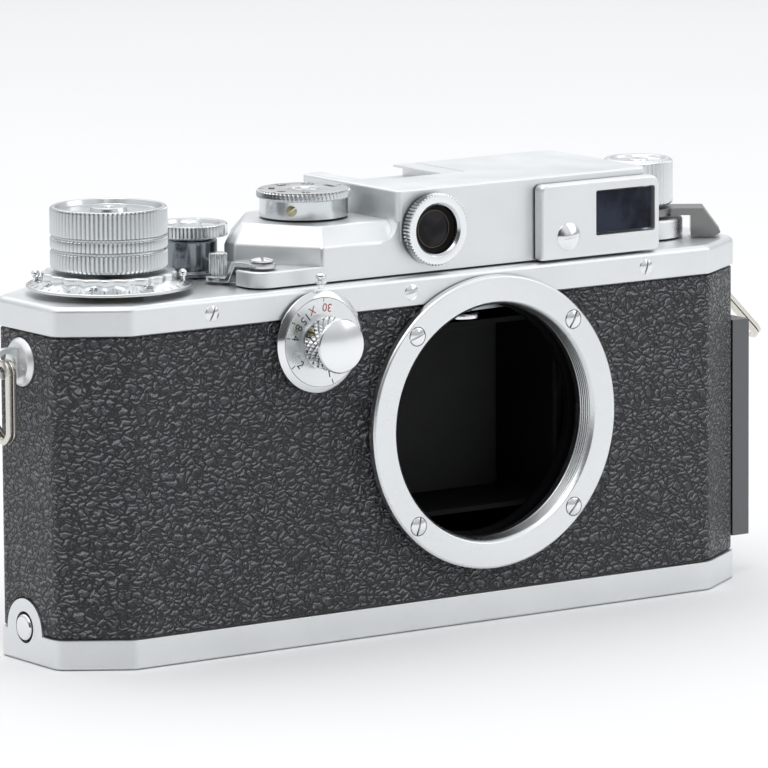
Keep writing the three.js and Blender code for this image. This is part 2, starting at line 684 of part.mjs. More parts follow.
function speedDial() {
  const { radius, skirt, bottom, rim, top } = DIAL;
  return turned([
    [0, 70.8], [1.8, 70.8], [1.8, bottom], [skirt, bottom], [skirt, rim], [radius, rim + 0.2],
    [radius, top - 0.3], [radius - 0.3, top], [0, top],
  ], 28);
}

// The rewind release lever: an eye on the pad, a cranked arm and an upright finger knob on the deck.
function releaseLever() {
  const { length, width, direction } = LEVER;
  const side = rounded([
    [-1, 62.2], [4.4, 62.2], [5.6, 59.4], [length, 59.4], [length, 60.3], [6.3, 60.3], [5.1, 63.0], [-1, 63.0],
  ]);
  const arm = slab(side, -width / 2, width / 2).rotateX(Math.PI / 2);
  const lever = cut(
    join(arm, rod(2.3, 62.2, 63.0), rodAt(length, 0, 2.1, 59.4, 60.4), rodAt(length, 0, 1.5, 60.3, 64.1)),
    rod(1.3, 60, 64, 12),
  );
  return lever.rotateZ(THREE.MathUtils.degToRad(direction));
}

function leverScrew() {
  return turned([[0, 60.4], [0.9, 60.4], [0.9, 63.3], [1.9, 63.3], [1.9, 63.6], [1.2, 63.9], [0, 63.9]], 16);
}

function rewindKnob() {
  const { radius, bottom, top } = REWIND;
  return turned([
    [0, 70.4], [2.3, 70.4], [2.3, bottom], [radius - 0.5, bottom], [radius, bottom + 0.5], [radius, top - 0.5],
    [radius - 0.5, top], [4.6, top], [4.4, top - 0.5], [1.6, top - 0.5], [1.5, top - 0.1], [0, top - 0.1],
  ], 22);
}

function rewindShaft() {
  const forkTop = 50;
  const forkBottom = 45;
  return join(
    rod(2.0, forkTop - 0.5, 70.0, 16),
    turned([[0, forkTop - 1], [4.0, forkTop - 1], [4.0, forkTop], [0, forkTop]], 20),
    block(-3.4, -1.2, -0.8, 0.8, forkBottom, forkTop - 0.5),
    block(1.2, 3.4, -0.8, 0.8, forkBottom, forkTop - 0.5),
  );
}

// The finder magnification lever: a ring round the rewind shaft with a wedge-shaped finger tab.
function magnifierLever() {
  const { direction, tip, width } = MAGNIFIER;
  const side = rounded([
    [5, 62.9], [8.9, 62.9], [8.9, 59.5], [tip - 0.8, 59.5], [tip, 60.0], [tip - 3, 64.2], [5, 64.2],
  ]);
  const tab = slab(side, -width / 2, width / 2).rotateX(Math.PI / 2);
  const lever = cut(join(tube(2.9, 6.2, 62.9, 64.2, 20), tab), rod(2.9, 60, 66, 20));
  return lever.rotateZ(THREE.MathUtils.degToRad(direction));
}

// ---------------------------------------------------------------- slow-speed dial on the front

function slowDial() {
  const { radius, back, face } = SLOW;
  return turned([
    [0, 12.5], [1.3, 12.5], [1.3, back - 0.2], [4.8, back - 0.2], [4.8, back], [radius, back],
    [radius, back + 0.4], [radius - 1.1, face], [1.2, face], [1.2, face + 1.2], [0, face + 1.2],
  ], 28);
}

function slowDialKnob() {
  const { knob, face, nose } = SLOW;
  return turned([
    [0, face + 1.5], [1.5, face + 1.5], [1.5, face + GAP], [knob, face + GAP], [knob, nose - 0.8],
    [knob - 0.5, nose - 0.4], [0, nose],
  ], 20);
}

function slowDialCatch() {
  return join(
    rodAt(SLOW.x, CATCH_Y, 0.55, 58.9, 60.3, 10),
    turned([[0, 59.7], [0.7, 59.9], [0.95, 60.6], [0.7, 61.3], [0, 61.5]], 12).translate(SLOW.x, CATCH_Y, 0),
  );
}

// ---------------------------------------------------------------- ends: lugs, clips and the flash rail

function strapLug(side) {
  const flange = facingEnd(
    turned([[0, 67.3], [LUG.flange, 67.3], [LUG.flange, 68.5], [LUG.flange - 0.7, 69.1], [0, 69.1]], 20),
    side, LUG.y, LUG.z,
  );
  const eyeOuter = 2.5;
  const inner = side * 68.8;
  const outer = side * (LUG.eyeX + eyeOuter);
  const plate = rounded([
    [inner, LUG.z - eyeOuter], [inner, LUG.z + eyeOuter],
    [outer, LUG.z + eyeOuter, 2.2], [outer, LUG.z - eyeOuter, 2.2],
  ]);
  const eye = slab(plate, -LUG.y - 0.7, -LUG.y + 0.7).rotateX(Math.PI / 2);
  const hole = rodAt(side * LUG.eyeX, LUG.z, LUG.eyeHole, -5, 5, 16).rotateX(Math.PI / 2);
  return cut(join(flange, eye), hole);
}

// A triangle of doubled flat wire, hanging in a fore-and-aft plane with its front side upright.
function strapClip() {
  const { side, apex, drop, wire, thickness, bend } = CLIP;
  const half = THREE.MathUtils.degToRad(apex / 2);
  const peak = bend / Math.tan(half);
  const slope = THREE.MathUtils.degToRad(apex);
  const corners = [
    [-bend, peak], [-bend, -drop], [-bend + side * Math.sin(slope), peak - side * Math.cos(slope)],
  ];
  const middle = [
    corners.reduce((sum, corner) => sum + corner[0], 0) / 3,
    corners.reduce((sum, corner) => sum + corner[1], 0) / 3,
  ];
  const grow = (amount) => corners.map(([u, v]) => {
    const reach = Math.hypot(u - middle[0], v - middle[1]);
    const scale = 1 + amount * 2 / reach;
    return [middle[0] + (u - middle[0]) * scale, middle[1] + (v - middle[1]) * scale];
  });
  const outer = slab(rounded(grow(wire / 2), bend + wire / 2), -thickness / 2, thickness / 2, 5);
  const inner = slab(rounded(grow(-wire / 2), bend - wire / 2), -thickness, thickness, 5);
  const flat = cut(outer, inner).translate(0, 0.1 - bend, 0);
  return flat.rotateX(Math.PI / 2).rotateZ(Math.PI / 2);
}

function flashRail() {
  const { front, back, bottom, top, outer } = RAIL;
  const inner = BODY.halfLength + GAP;
  const lip = 2.0;
  const wall = 0.8;
  const side = 0.9;
  const section = rounded([
    [inner, front], [outer, front], [outer, front + lip], [outer - wall, front + lip],
    [outer - wall, front + side], [inner + wall, front + side],
    [inner + wall, back - side], [outer - wall, back - side],
    [outer - wall, back - lip], [outer, back - lip], [outer, back], [inner, back],
  ]);
  const rail = slab(section, bottom, top);
  return join(rail, block(inner, outer, front, back, top - 1.2, top));
}

// ---------------------------------------------------------------- base plate and its fittings

function basePlate() {
  const tray = cut(
    easedSlab(BODY_CORNERS, 2.5, -LEVEL.trayRim, 0, 0.5, 0.5, 1).rotateX(Math.PI),
    slab(bodyOutline(INSET.tray), LEVEL.trayFloor, LEVEL.trayRim + 1),
    rodAt(LOCK.x, LOCK.y, LOCK.radius + GAP, -1, 3, 28),
    rodAt(TRIPOD.x, TRIPOD.y, TRIPOD.radius + GAP, -1, 3, 18),
  );
  const { y, halfWidth, top, holeZ, hole } = EAR;
  const outline = new THREE.Shape();
  outline.moveTo(y - halfWidth, LEVEL.trayFloor);
  outline.lineTo(y - halfWidth, top - halfWidth);
  outline.absarc(y, top - halfWidth, halfWidth, Math.PI, 0, true);
  outline.lineTo(y + halfWidth, LEVEL.trayFloor);
  outline.closePath();
  const earThickness = 0.8;
  const upright = slab(outline, -BODY.halfLength, -BODY.halfLength + earThickness, 7);
  const ear = upright.rotateX(Math.PI / 2).rotateZ(Math.PI / 2);
  const earHole = facingEnd(rod(hole, 60, 75, 18), -1, y, holeZ);
  return cut(join(tray, ear), earHole);
}

function baseStud() {
  return facingEnd(rod(EAR.stud, 67.3, 68.8, 16), -1, EAR.y, EAR.holeZ);
}

function tripodBush() {
  const { radius, bore, height, depth } = TRIPOD;
  return turned([
    [bore, 0], [radius, 0], [radius, LEVEL.trayFloor + GAP], [radius + 2.5, LEVEL.trayFloor + GAP],
    [radius + 2.5, 2.3], [radius, 2.3], [radius, height], [0, height], [0, depth], [bore, depth], [bore, 0],
  ], 18);
}

function halfRing(inner, outer, bottom, top) {
  const outline = new THREE.Shape();
  outline.absarc(0, 0, outer, Math.PI, 2 * Math.PI, false);
  outline.absarc(0, 0, inner, 2 * Math.PI, Math.PI, true);
  outline.closePath();
  return slab(outline, bottom, top, 8);
}

function lockDisc() {
  const slot = halfRing(LOCK.keyInner - 0.35, LOCK.keyOuter + 0.35, -1, 1.25);
  const ends = block(-LOCK.keyOuter - 0.35, LOCK.keyOuter + 0.35, -0.1, 0.75, -1, 1.25);
  const middle = rod(LOCK.keyInner - 0.35, -2, 2, 24);
  const disc = turned([
    [0, 0.2], [LOCK.radius, 0.2], [LOCK.radius, 1.6], [2.5, 1.6], [2.5, 4.2], [0, 4.2],
  ], 28);
  return cut(disc, slot, cut(ends, middle));
}

function lockKey() {
  const half = 0.35;
  const ring = halfRing(LOCK.keyInner, LOCK.keyOuter, 0.6 - half, 0.6 + half);
  const pads = [-1, 1].map((side) => {
    const middle = side * (LOCK.keyInner + LOCK.keyOuter) / 2;
    const width = (LOCK.keyOuter - LOCK.keyInner) / 2;
    return block(middle - width, middle + width, -0.3, 0.35, 0.6 - half, 0.6 + half);
  });
  return join(ring, ...pads);
}

function lockCam() {
  const arm = block(0, 10.4, -2, 2, 2.0, 3.0);
  return cut(join(rod(4.6, 2.0, 3.0, 20), arm), rod(2.8, 0, 5, 20));
}

// ---------------------------------------------------------------- assembly

add(camera, 'body_shell', bodyShell(), castAlloy);
add(camera, 'leather_covering', leatherSkin(), skinMaterial);
add(camera, 'top_cover', topCover(), satinChrome);
add(camera, 'rangefinder_cover', rangefinderCover(), satinChrome);
add(camera, 'chassis_plate', chassisPlate(), steel);
add(camera, 'shutter_crate', shutterCrate(), blackMetal);
add(camera, 'second_curtain', curtain(-13.6, 30.0, 29.2, 30.6, CURTAIN.secondFront), curtainCloth);
add(camera, 'first_curtain', curtain(27.0, 35.4, 26.0, 27.2, CURTAIN.firstFront), curtainCloth);
add(camera, 'pressure_plate', block(-8, 32.4, CRATE.back + 0.4, CRATE.back + 1.1, 18, 49.2), blackMetal);
add(camera, 'flash_rail', flashRail(), steel);
add(camera, 'base_plate', basePlate(), satinChrome);
add(camera, 'base_stud', baseStud(), polishedChrome);

const lens = frontGroup(LENS.x, LENS.z);
add(lens, 'lens_mount_ring', lensMountRing(), satinChrome);
add(lens, 'light_baffle', lightBaffle(), blackMetal);
mountScrewPlaces().forEach(([x, y], i) => {
  add(lens, `mount_screw_${i + 1}`, mountScrew(), polishedChrome).position.set(x, y, 0);
});

const windowFront = frontGroup(0, 0);
add(windowFront, 'finder_window_block', windowBlock(), satinChrome);
const frontGlass = rectangle(WINDOW.left + GAP, WINDOW.right - GAP, WINDOW.bottom + GAP, WINDOW.top - GAP);
add(windowFront, 'finder_front_glass', slab(frontGlass, 14.1, 14.9), opticalGlass);
add(windowFront, 'accessory_shoe', accessoryShoe(), satinChrome);

const rangeWindow = frontGroup(RANGE_WINDOW.x, RANGE_WINDOW.z);
add(rangeWindow, 'range_window_ring', rangeWindowRing(), polishedChrome);
add(rangeWindow, 'range_window_glass', rod(RANGE_WINDOW.bore - GAP, 13.2, 13.9, 24), opticalGlass);

const eyepiece = new THREE.Group();
eyepiece.position.set(EYEPIECE.x, 0, EYEPIECE.z);
eyepiece.rotation.x = -Math.PI / 2;
camera.add(eyepiece);
add(eyepiece, 'eyepiece_ring', eyepieceRing(), blackMetal);
add(eyepiece, 'eyepiece_lens', eyepieceLens(), opticalGlass);

const finderAxis = axisGroup(EYEPIECE.x, 0);
add(finderAxis, 'beam_splitter', beamSplitter(), opticalGlass);
add(finderAxis, 'magnifier_turret', magnifierTurret(), blackMetal).position.set(0, TURRET.y, 0);

const mirror = add(camera, 'rangefinder_mirror', rangefinderMirror(), opticalGlass);
mirror.position.set(RANGE_WINDOW.x, MIRROR.y, 0);
mirror.rotation.z = Math.PI / 4;

const follower = axisGroup(FOLLOWER.x, FOLLOWER.y);
add(follower, 'follower_arm', followerArm(), steel);
const roller = add(follower, 'follower_roller', tube(1.1, FOLLOWER.roller, 49.95, 50.75, 20), polishedChrome);
roller.position.set(FOLLOWER.rollerX - FOLLOWER.x, FOLLOWER.rollerY - FOLLOWER.y, 0);

const winding = axisGroup(WIND.x, WIND.y);
add(winding, 'wind_knob', windKnob(), satinChrome);
add(winding, 'wind_shaft', windShaft(), steel);
add(winding, 'counter_dial', counterDial(), satinChrome);
add(winding, 'wind_bush', windBush(), brass);
add(winding, 'take_up_spool', takeUpSpool(), blackMetal);

const sprocketAxis = axisGroup(SPROCKET_AXIS.x, SPROCKET_AXIS.y);
add(sprocketAxis, 'film_sprocket', filmSprocket(), steel);

const release = axisGroup(RELEASE.x, RELEASE.y);
add(release, 'release_collar', releaseCollar(), polishedChrome);
add(release, 'release_button', releaseButton(), satinChrome);

const drum = axisGroup(DRUM.x, DRUM.y);
add(drum, 'curtain_drum', curtainDrum(), brass);
add(drum, 'speed_dial', speedDial(), satinChrome);

const rollerLine = axisGroup(ROLLERS.x, 0);
add(rollerLine, 'first_curtain_roller', curtainRoller(), steel).position.y = ROLLERS.rearY;
add(rollerLine, 'second_curtain_roller', curtainRoller(), steel).position.y = ROLLERS.frontY;

const leverAxis = axisGroup(LEVER.x, LEVER.y);
add(leverAxis, 'rewind_release_lever', releaseLever(), polishedChrome);
add(leverAxis, 'lever_screw', leverScrew(), polishedChrome);

const slow = frontGroup(SLOW.x, SLOW.z);
add(slow, 'slow_dial', slowDial(), satinChrome);
add(slow, 'slow_dial_knob', slowDialKnob(), satinChrome);
add(camera, 'slow_dial_catch', slowDialCatch(), polishedChrome);

const rewinding = axisGroup(REWIND.x, REWIND.y);
add(rewinding, 'rewind_knob', rewindKnob(), satinChrome);
add(rewinding, 'rewind_shaft', rewindShaft(), steel);
add(rewinding, 'rewind_collar', tube(2.6, REWIND.collar, 59.3, 62.5, 24), satinChrome);
add(rewinding, 'magnifier_lever', magnifierLever(), polishedChrome);

for (const [name, side] of [['left', -1], ['right', 1]]) {
  add(camera, `strap_lug_${name}`, strapLug(side), polishedChrome);
  const clip = add(camera, `strap_clip_${name}`, strapClip(), nickel);
  clip.position.set(side * LUG.eyeX, LUG.y, LUG.z);
  clip.rotation.y = side > 0 ? -THREE.MathUtils.degToRad(CLIP.lean) : 0;
}

const tripod = axisGroup(TRIPOD.x, TRIPOD.y);
add(tripod, 'tripod_bush', tripodBush(), brass);
const lock = axisGroup(LOCK.x, LOCK.y);
add(lock, 'lock_disc', lockDisc(), satinChrome);
add(lock, 'lock_key', lockKey(), polishedChrome);
add(lock, 'lock_cam', lockCam(), steel);

export default camera;
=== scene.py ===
from math import atan, atan2, cos, degrees, pi, radians, sin, tan

import bmesh
import bpy
from mathutils import Matrix, Vector


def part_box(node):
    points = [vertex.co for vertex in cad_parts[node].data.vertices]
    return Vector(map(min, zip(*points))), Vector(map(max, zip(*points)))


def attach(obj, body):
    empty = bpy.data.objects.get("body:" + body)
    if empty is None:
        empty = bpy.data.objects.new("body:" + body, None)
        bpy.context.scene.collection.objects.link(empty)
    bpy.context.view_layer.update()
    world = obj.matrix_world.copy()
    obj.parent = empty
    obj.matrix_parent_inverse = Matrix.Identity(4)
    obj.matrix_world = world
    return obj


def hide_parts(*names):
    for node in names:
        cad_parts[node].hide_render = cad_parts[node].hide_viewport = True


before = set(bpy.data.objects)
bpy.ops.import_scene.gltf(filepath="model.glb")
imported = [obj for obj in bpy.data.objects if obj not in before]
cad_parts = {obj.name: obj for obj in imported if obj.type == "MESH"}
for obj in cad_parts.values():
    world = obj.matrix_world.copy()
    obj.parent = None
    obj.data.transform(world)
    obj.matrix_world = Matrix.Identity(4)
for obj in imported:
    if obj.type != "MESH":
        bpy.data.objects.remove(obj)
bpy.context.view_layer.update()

# Lengths below are in millimetres until a mesh or an object is made.
MM = 0.001
ARC_STEPS = 6
ROUND = 144


class Box:
    """A CAD node's box at rest, in millimetres."""

    def __init__(self, node):
        low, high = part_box(node)
        self.low = low / MM
        self.high = high / MM
        self.mid = (self.low + self.high) / 2
        self.half = (self.high - self.low) / 2


# ---------------- shader building


class Shader:
    """A material's node tree. Its methods add a node and return the socket it gives."""

    def __init__(self, name):
        self.material = bpy.data.materials.new(name)
        self.material.use_nodes = True
        self.tree = self.material.node_tree
        self.bsdf = self.tree.nodes["Principled BSDF"]

    def put(self, socket, value):
        if isinstance(value, bpy.types.NodeSocket):
            self.tree.links.new(value, socket)
        else:
            socket.default_value = value

    def node(self, kind, inputs, output=0, **settings):
        made = self.tree.nodes.new(kind)
        for key, value in settings.items():
            setattr(made, key, value)
        for key, value in inputs.items():
            self.put(made.inputs[key], value)
        return made.outputs[output]

    def coords(self, kind="Object"):
        return self.node("ShaderNodeTexCoord", {}, kind)

    def scaled(self, vector, scale, turn=(0.0, 0.0, 0.0)):
        return self.node("ShaderNodeMapping", {"Vector": vector, "Scale": scale, "Rotation": turn})

    def noise(self, vector, scale, detail=3.0, roughness=0.5, output=0):
        inputs = {"Vector": vector, "Scale": scale, "Detail": detail, "Roughness": roughness}
        return self.node("ShaderNodeTexNoise", inputs, output)

    def maths(self, operation, a, b=0.0, clamp=False):
        return self.node("ShaderNodeMath", {0: a, 1: b}, operation=operation, use_clamp=clamp)

    def vector_maths(self, operation, a, b, output=0):
        return self.node("ShaderNodeVectorMath", {0: a, 1: b}, output, operation=operation)

    def remap(self, value, from_low, from_high, to_low, to_high, smooth=False):
        inputs = {"Value": value, 1: from_low, 2: from_high, 3: to_low, 4: to_high}
        kind = "SMOOTHSTEP" if smooth else "LINEAR"
        return self.node("ShaderNodeMapRange", inputs, interpolation_type=kind)

    def blend(self, share, a, b):
        inputs = {0: share, 6: rgba(a), 7: rgba(b)}
        return self.node("ShaderNodeMix", inputs, 2, data_type="RGBA")

    def bump(self, height, distance, strength=1.0, under=None):
        inputs = {"Height": height, "Distance": distance, "Strength": strength}
        if under is not None:
            inputs["Normal"] = under
        return self.node("ShaderNodeBump", inputs)

    def split(self, vector, axis):
        return self.node("ShaderNodeSeparateXYZ", {0: vector}, axis)

    def finish(self, **values):
        for key, value in values.items():
            self.put(self.bsdf.inputs[key.replace("_", " ")], value)
        return self.material


class Surround(Shader):
    """The world's node tree, with the direction of view as its coordinates."""

    def __init__(self, name):
        world = bpy.data.worlds.new(name)
        world.use_nodes = True
        bpy.context.scene.world = world
        self.tree = world.node_tree
        self.back = self.tree.nodes["Background"]

    def ramp(self, value, tones):
        """A cool grey that follows (position, tone) stops."""
        made = self.tree.nodes.new("ShaderNodeValToRGB")
        self.put(made.inputs[0], value)
        stops = made.color_ramp.elements
        while len(stops) < len(tones):
            stops.new(0.5)
        for stop, (position, tone) in zip(stops, tones):
            stop.position = position
            stop.color = (tone * 0.97, tone * 0.985, tone, 1)
        return made.outputs[0]


def rgba(value):
    if isinstance(value, bpy.types.NodeSocket) or len(value) == 4:
        return value
    return (*value, 1.0)


def plated(name, tint, rough, spun=False, crevice_shade=0.35, lit_ends=None):
    """Plated or bare metal: cloudy handling marks, fine grain, painted shade in crevices and, if spun, lathe
    rings.

    The lit ends tint is painted light: it makes the faces square to the piece's own Z axis lighter than the
    walls.
    """
    s = Shader(name)
    place = s.coords()
    cloud = s.noise(place, 70.0, 5.0, 0.6)
    grain = s.noise(place, 9000.0, 2.0)
    specks = s.remap(s.noise(place, 1400.0, 2.0), 0.68, 0.78, 0.0, 1.0, smooth=True)
    shade = s.blend(s.remap(cloud, 0.35, 0.7, 0.0, 1.0), [c * 0.93 for c in tint], tint)
    # Painted light: faces square to the piece's Z axis take the lighter lit ends tint.
    if lit_ends:
        squareness = s.remap(s.maths("ABSOLUTE", s.split(s.coords("Normal"), 2)), 0.8, 0.97, 0.0, 1.0)
        shade = s.blend(squareness, shade, lit_ends)
    # Painted shade: crevices found by ambient occlusion are darkened towards a brown grey, as far as the
    # crevice shade amount says.
    corner = s.node("ShaderNodeAmbientOcclusion", {"Distance": 0.7 * MM}, "AO", samples=6)
    crevice_shade_mask = s.remap(corner, 0.25, 0.85, crevice_shade, 0.0)
    shade = s.blend(crevice_shade_mask, shade, (0.10, 0.095, 0.085))
    shade = s.blend(s.maths("MULTIPLY", specks, 0.03), shade, (0.32, 0.31, 0.29))
    roughness = s.remap(cloud, 0.3, 0.75, rough * 0.85, rough * 1.25)
    normal = s.bump(grain, 0.0015 * MM, 0.6)
    if spun:
        flat = s.split(s.coords("Normal"), 2)
        facing = s.remap(s.maths("ABSOLUTE", flat), 0.75, 0.95, 0.0, 1.0)
        across = s.scaled(place, (1.0, 1.0, 0.0))
        radius = s.vector_maths("LENGTH", across, across, "Value")
        turn = s.maths("MULTIPLY", radius, 9000.0)
        rings = s.node("ShaderNodeTexNoise", {"W": turn, "Scale": 1.0, "Detail": 2.0}, noise_dimensions="1D")
        normal = s.bump(s.maths("MULTIPLY", rings, facing), 0.004 * MM, 0.9, under=normal)
        tangent = s.node("ShaderNodeTangent", {}, direction_type="RADIAL", axis="Z")
        s.finish(Anisotropic=0.55, Tangent=tangent)
    return s.finish(Base_Color=shade, Metallic=1.0, Roughness=roughness, Normal=normal)


def pebble_height(s, place):
    """Height of the leatherette's grain: slanting pebbles parted by creases, with finer wrinkles on them."""
    drift = s.vector_maths("SUBTRACT", s.noise(place, 420.0, 3.0, output=1), (0.5, 0.5, 0.5))
    drift = s.vector_maths("MULTIPLY", drift, (0.0030, 0.0030, 0.0030))
    bent = s.scaled(s.vector_maths("ADD", place, drift), (0.8, 0.8, 1.3), (0.0, 0.5, 0.0))
    edge = {"feature": "DISTANCE_TO_EDGE"}
    large = s.node("ShaderNodeTexVoronoi", {"Vector": bent, "Scale": 760.0}, 0, **edge)
    small = s.node("ShaderNodeTexVoronoi", {"Vector": bent, "Scale": 1900.0}, 0, **edge)
    tops = s.remap(large, 0.0, 0.3, 0.0, 0.8, smooth=True)
    wrinkles = s.remap(small, 0.0, 0.3, 0.0, 0.2, smooth=True)
    soft = s.maths("MULTIPLY", s.noise(place, 1300.0, 3.0), 0.35)
    return s.maths("ADD", s.maths("ADD", tops, wrinkles), soft)


def pebbled_skin(name):
    """Charcoal leatherette: glossy pebbles with painted highlights on their upper edges, between dull creases
    painted dark as shade.
    """
    s = Shader(name)
    place = s.coords()
    height = pebble_height(s, place)
    # The height a little up, left and forwards is taken, so that slopes facing that way can be painted pale
    # as highlights.
    above = pebble_height(s, s.vector_maths("ADD", place, (-0.00012, -0.00008, 0.00024)))
    slope = s.maths("SUBTRACT", height, above)
    painted_highlight = s.remap(slope, 0.14, 0.5, 0.0, 1.0, smooth=True)
    worn = s.noise(place, 55.0, 4.0)
    top_colour = s.blend(worn, (0.032, 0.037, 0.041), (0.048, 0.054, 0.060))
    # Painted shade: the low creases go almost black.
    colour = s.blend(s.remap(height, 0.25, 0.75, 0.0, 1.0), (0.002, 0.0024, 0.003), top_colour)
    # Painted highlight: slopes facing up and left are blended towards a pale grey.
    colour = s.blend(s.maths("MULTIPLY", painted_highlight, 0.75), colour, (0.27, 0.285, 0.295))
    roughness = s.remap(height, 0.3, 0.9, 0.42, 0.24)
    normal = s.bump(height, 0.7 * MM, 1.0)
    return s.finish(Base_Color=colour, Roughness=roughness, Normal=normal, Specular_IOR_Level=0.6)


def lacquer(name, colour, rough):
    """Matt paint with a fine orange-peel surface and slightly worn patches."""
    s = Shader(name)
    place = s.coords()
    patch = s.noise(place, 120.0, 4.0)
    shade = s.blend(patch, colour, [c * 1.6 + 0.001 for c in colour])
    roughness = s.remap(patch, 0.3, 0.7, rough * 0.85, rough * 1.15)
    normal = s.bump(s.noise(place, 5000.0, 2.0), 0.01 * MM, 0.5)
    return s.finish(Base_Color=shade, Roughness=roughness, Normal=normal, Specular_IOR_Level=0.12)


def cloth(name):
    """Rubberised silk: a plain weave far finer than a millimetre."""
    s = Shader(name)
    place = s.coords()
    threads = []
    for axis in (0, 2):
        threads.append(s.maths("SINE", s.maths("MULTIPLY", s.split(place, axis), 22000.0)))
    weave = s.maths("MULTIPLY", *threads)
    shade = s.blend(s.noise(place, 200.0), (0.008, 0.008, 0.009), (0.016, 0.016, 0.017))
    normal = s.bump(weave, 0.01 * MM, 0.6)
    return s.finish(Base_Color=shade, Roughness=0.82, Normal=normal, Sheen_Weight=0.2)


def coated_glass(name, dark, pale):
    """Dark window glass over an unlit interior, with a faint coating between two colours and dust."""
    s = Shader(name)
    place = s.coords()
    dust = s.remap(s.noise(place, 2500.0, 3.0), 0.6, 0.8, 0.0, 1.0)
    shade = s.blend(s.remap(s.noise(place, 160.0), 0.4, 0.6, 0.0, 1.0, smooth=True), dark, pale)
    roughness = s.remap(dust, 0.0, 1.0, 0.03, 0.16)
    return s.finish(Base_Color=shade, Roughness=roughness, IOR=1.5, Specular_IOR_Level=0.12)


def ink(name, colour):
    """Filling paint in an engraved mark."""
    s = Shader(name)
    patch = s.noise(s.coords(), 3000.0, 3.0)
    shade = s.blend(patch, colour, [c * 0.6 + 0.02 for c in colour])
    return s.finish(Base_Color=shade, Roughness=0.6)


SATIN = plated("satin_chrome", (0.83, 0.85, 0.855), 0.42)
SPUN = plated("spun_chrome", (0.82, 0.84, 0.845), 0.28, spun=True)
BRIGHT = plated("bright_chrome", (0.84, 0.85, 0.86), 0.12, crevice_shade=0.25)
# Knurled chrome: its walls are painted darker as shade, and its ends painted lighter as light.
KNURLED = plated("knurled_chrome", (0.68, 0.705, 0.72), 0.2, crevice_shade=0.97, lit_ends=(0.85, 0.865, 0.87))
# Polished chrome with a dark tint: a painted dark reflection of the dim surroundings.
DARK_REFLECTION_CHROME = plated("chrome_painted_dark_reflection", (0.24, 0.265, 0.29), 0.16, crevice_shade=0.5)
# Chrome tinted dark: painted shade and a painted dark reflection, for the magnifier lever.
SHADED_LEVER_CHROME = plated("chrome_painted_shade", (0.27, 0.275, 0.27), 0.30)
NICKEL = plated("nickel_wire", (0.72, 0.69, 0.63), 0.24, crevice_shade=0.5)
STEEL = plated("ground_steel", (0.52, 0.53, 0.54), 0.34)
DARK_STEEL = plated("dark_steel", (0.16, 0.165, 0.17), 0.38)
# Brass, with strong painted shade in its slots and crevices.
BRASS = plated("turned_brass", (0.50, 0.43, 0.25), 0.30, crevice_shade=0.95)
BRONZE = plated("dull_bronze", (0.14, 0.10, 0.075), 0.5)
ALLOY = plated("cast_alloy", (0.56, 0.57, 0.57), 0.5)
LEATHER = pebbled_skin("pebbled_skin")
BLACK = lacquer("black_lacquer", (0.0022, 0.0022, 0.0025), 0.6)
CLOTH = cloth("curtain_cloth")
GLASS = coated_glass("coated_glass", (0.008, 0.009, 0.016), (0.026, 0.034, 0.054))
SMOKED = coated_glass("smoked_glass", (0.010, 0.009, 0.010), (0.026, 0.026, 0.030))
BLACK_INK = ink("black_ink", (0.02, 0.02, 0.022))
RED_INK = ink("red_ink", (0.48, 0.05, 0.04))

# ---------------- outlines


def rounded(corners, radius, steps=ARC_STEPS):
    """Points of a closed outline whose corners are rounded by their own third value or by radius."""
    points = []
    for i, corner in enumerate(corners):
        here = Vector(corner[:2])
        own = corner[2] if len(corner) > 2 else radius
        before = (Vector(corners[i - 1][:2]) - here).normalized()
        after = (Vector(corners[(i + 1) % len(corners)][:2]) - here).normalized()
        half = before.angle(after) / 2
        centre = here + (before + after).normalized() * own / sin(half)
        start = here + before * own / tan(half) - centre
        end = here + after * own / tan(half) - centre
        sweep = atan2(start.x * end.y - start.y * end.x, start.dot(end))
        for step in range(steps + 1):
            turn = Matrix.Rotation(sweep * step / steps, 2)
            points.append(centre + turn @ start)
    return points


def inset(corners, amount):
    """The corners of an anticlockwise outline with every side moved inwards."""
    moved = []
    for i, corner in enumerate(corners):
        here = Vector(corner[:2])
        along = (here - Vector(corners[i - 1][:2])).normalized()
        onward = (Vector(corners[(i + 1) % len(corners)][:2]) - here).normalized()
        share = amount / (1 + along.dot(onward))
        x = here.x - (along.y + onward.y) * share
        y = here.y + (along.x + onward.x) * share
        moved.append((x, y, *corner[2:]))
    return moved


def rectangle(x0, x1, y0, y1):
    return [(x0, y0), (x1, y0), (x1, y1), (x0, y1)]


def circle(radius, count=64):
    return [Vector((radius * cos(a), radius * sin(a))) for a in steps_round(count)]


def quarter(steps):
    """Angles from nought to a right angle."""
    return [pi / 2 * i / steps for i in range(steps + 1)]


def steps_round(count):
    return [2 * pi * i / count for i in range(count)]


# ---------------- meshes


def linked(name, data):
    obj = bpy.data.objects.new(name, data)
    bpy.context.scene.collection.objects.link(obj)
    return obj


def made(name, points, faces):
    """A new object from points in millimetres, in its own frame."""
    mesh = bpy.data.meshes.new(name)
    mesh.from_pydata([Vector(p) * MM for p in points], [], faces)
    mesh.validate()
    return face_outwards(linked(name, mesh))


def face_outwards(obj):
    work = bmesh.new()
    work.from_mesh(obj.data)
    bmesh.ops.remove_doubles(work, verts=work.verts, dist=0.0005 * MM)
    bmesh.ops.recalc_face_normals(work, faces=work.faces)
    if work.calc_volume(signed=True) < 0:
        bmesh.ops.reverse_faces(work, faces=work.faces)
    work.to_mesh(obj.data)
    work.free()
    return obj


def walls(rows, count, ring):
    """Faces between neighbouring rows of count points. In a ring the last row meets the first."""
    faces = []
    for i in range(rows if ring else rows - 1):
        here = i * count
        there = (i + 1) % rows * count
        for k in range(count):
            n = (k + 1) % count
            faces.append((here + k, here + n, there + n, there + k))
    return faces


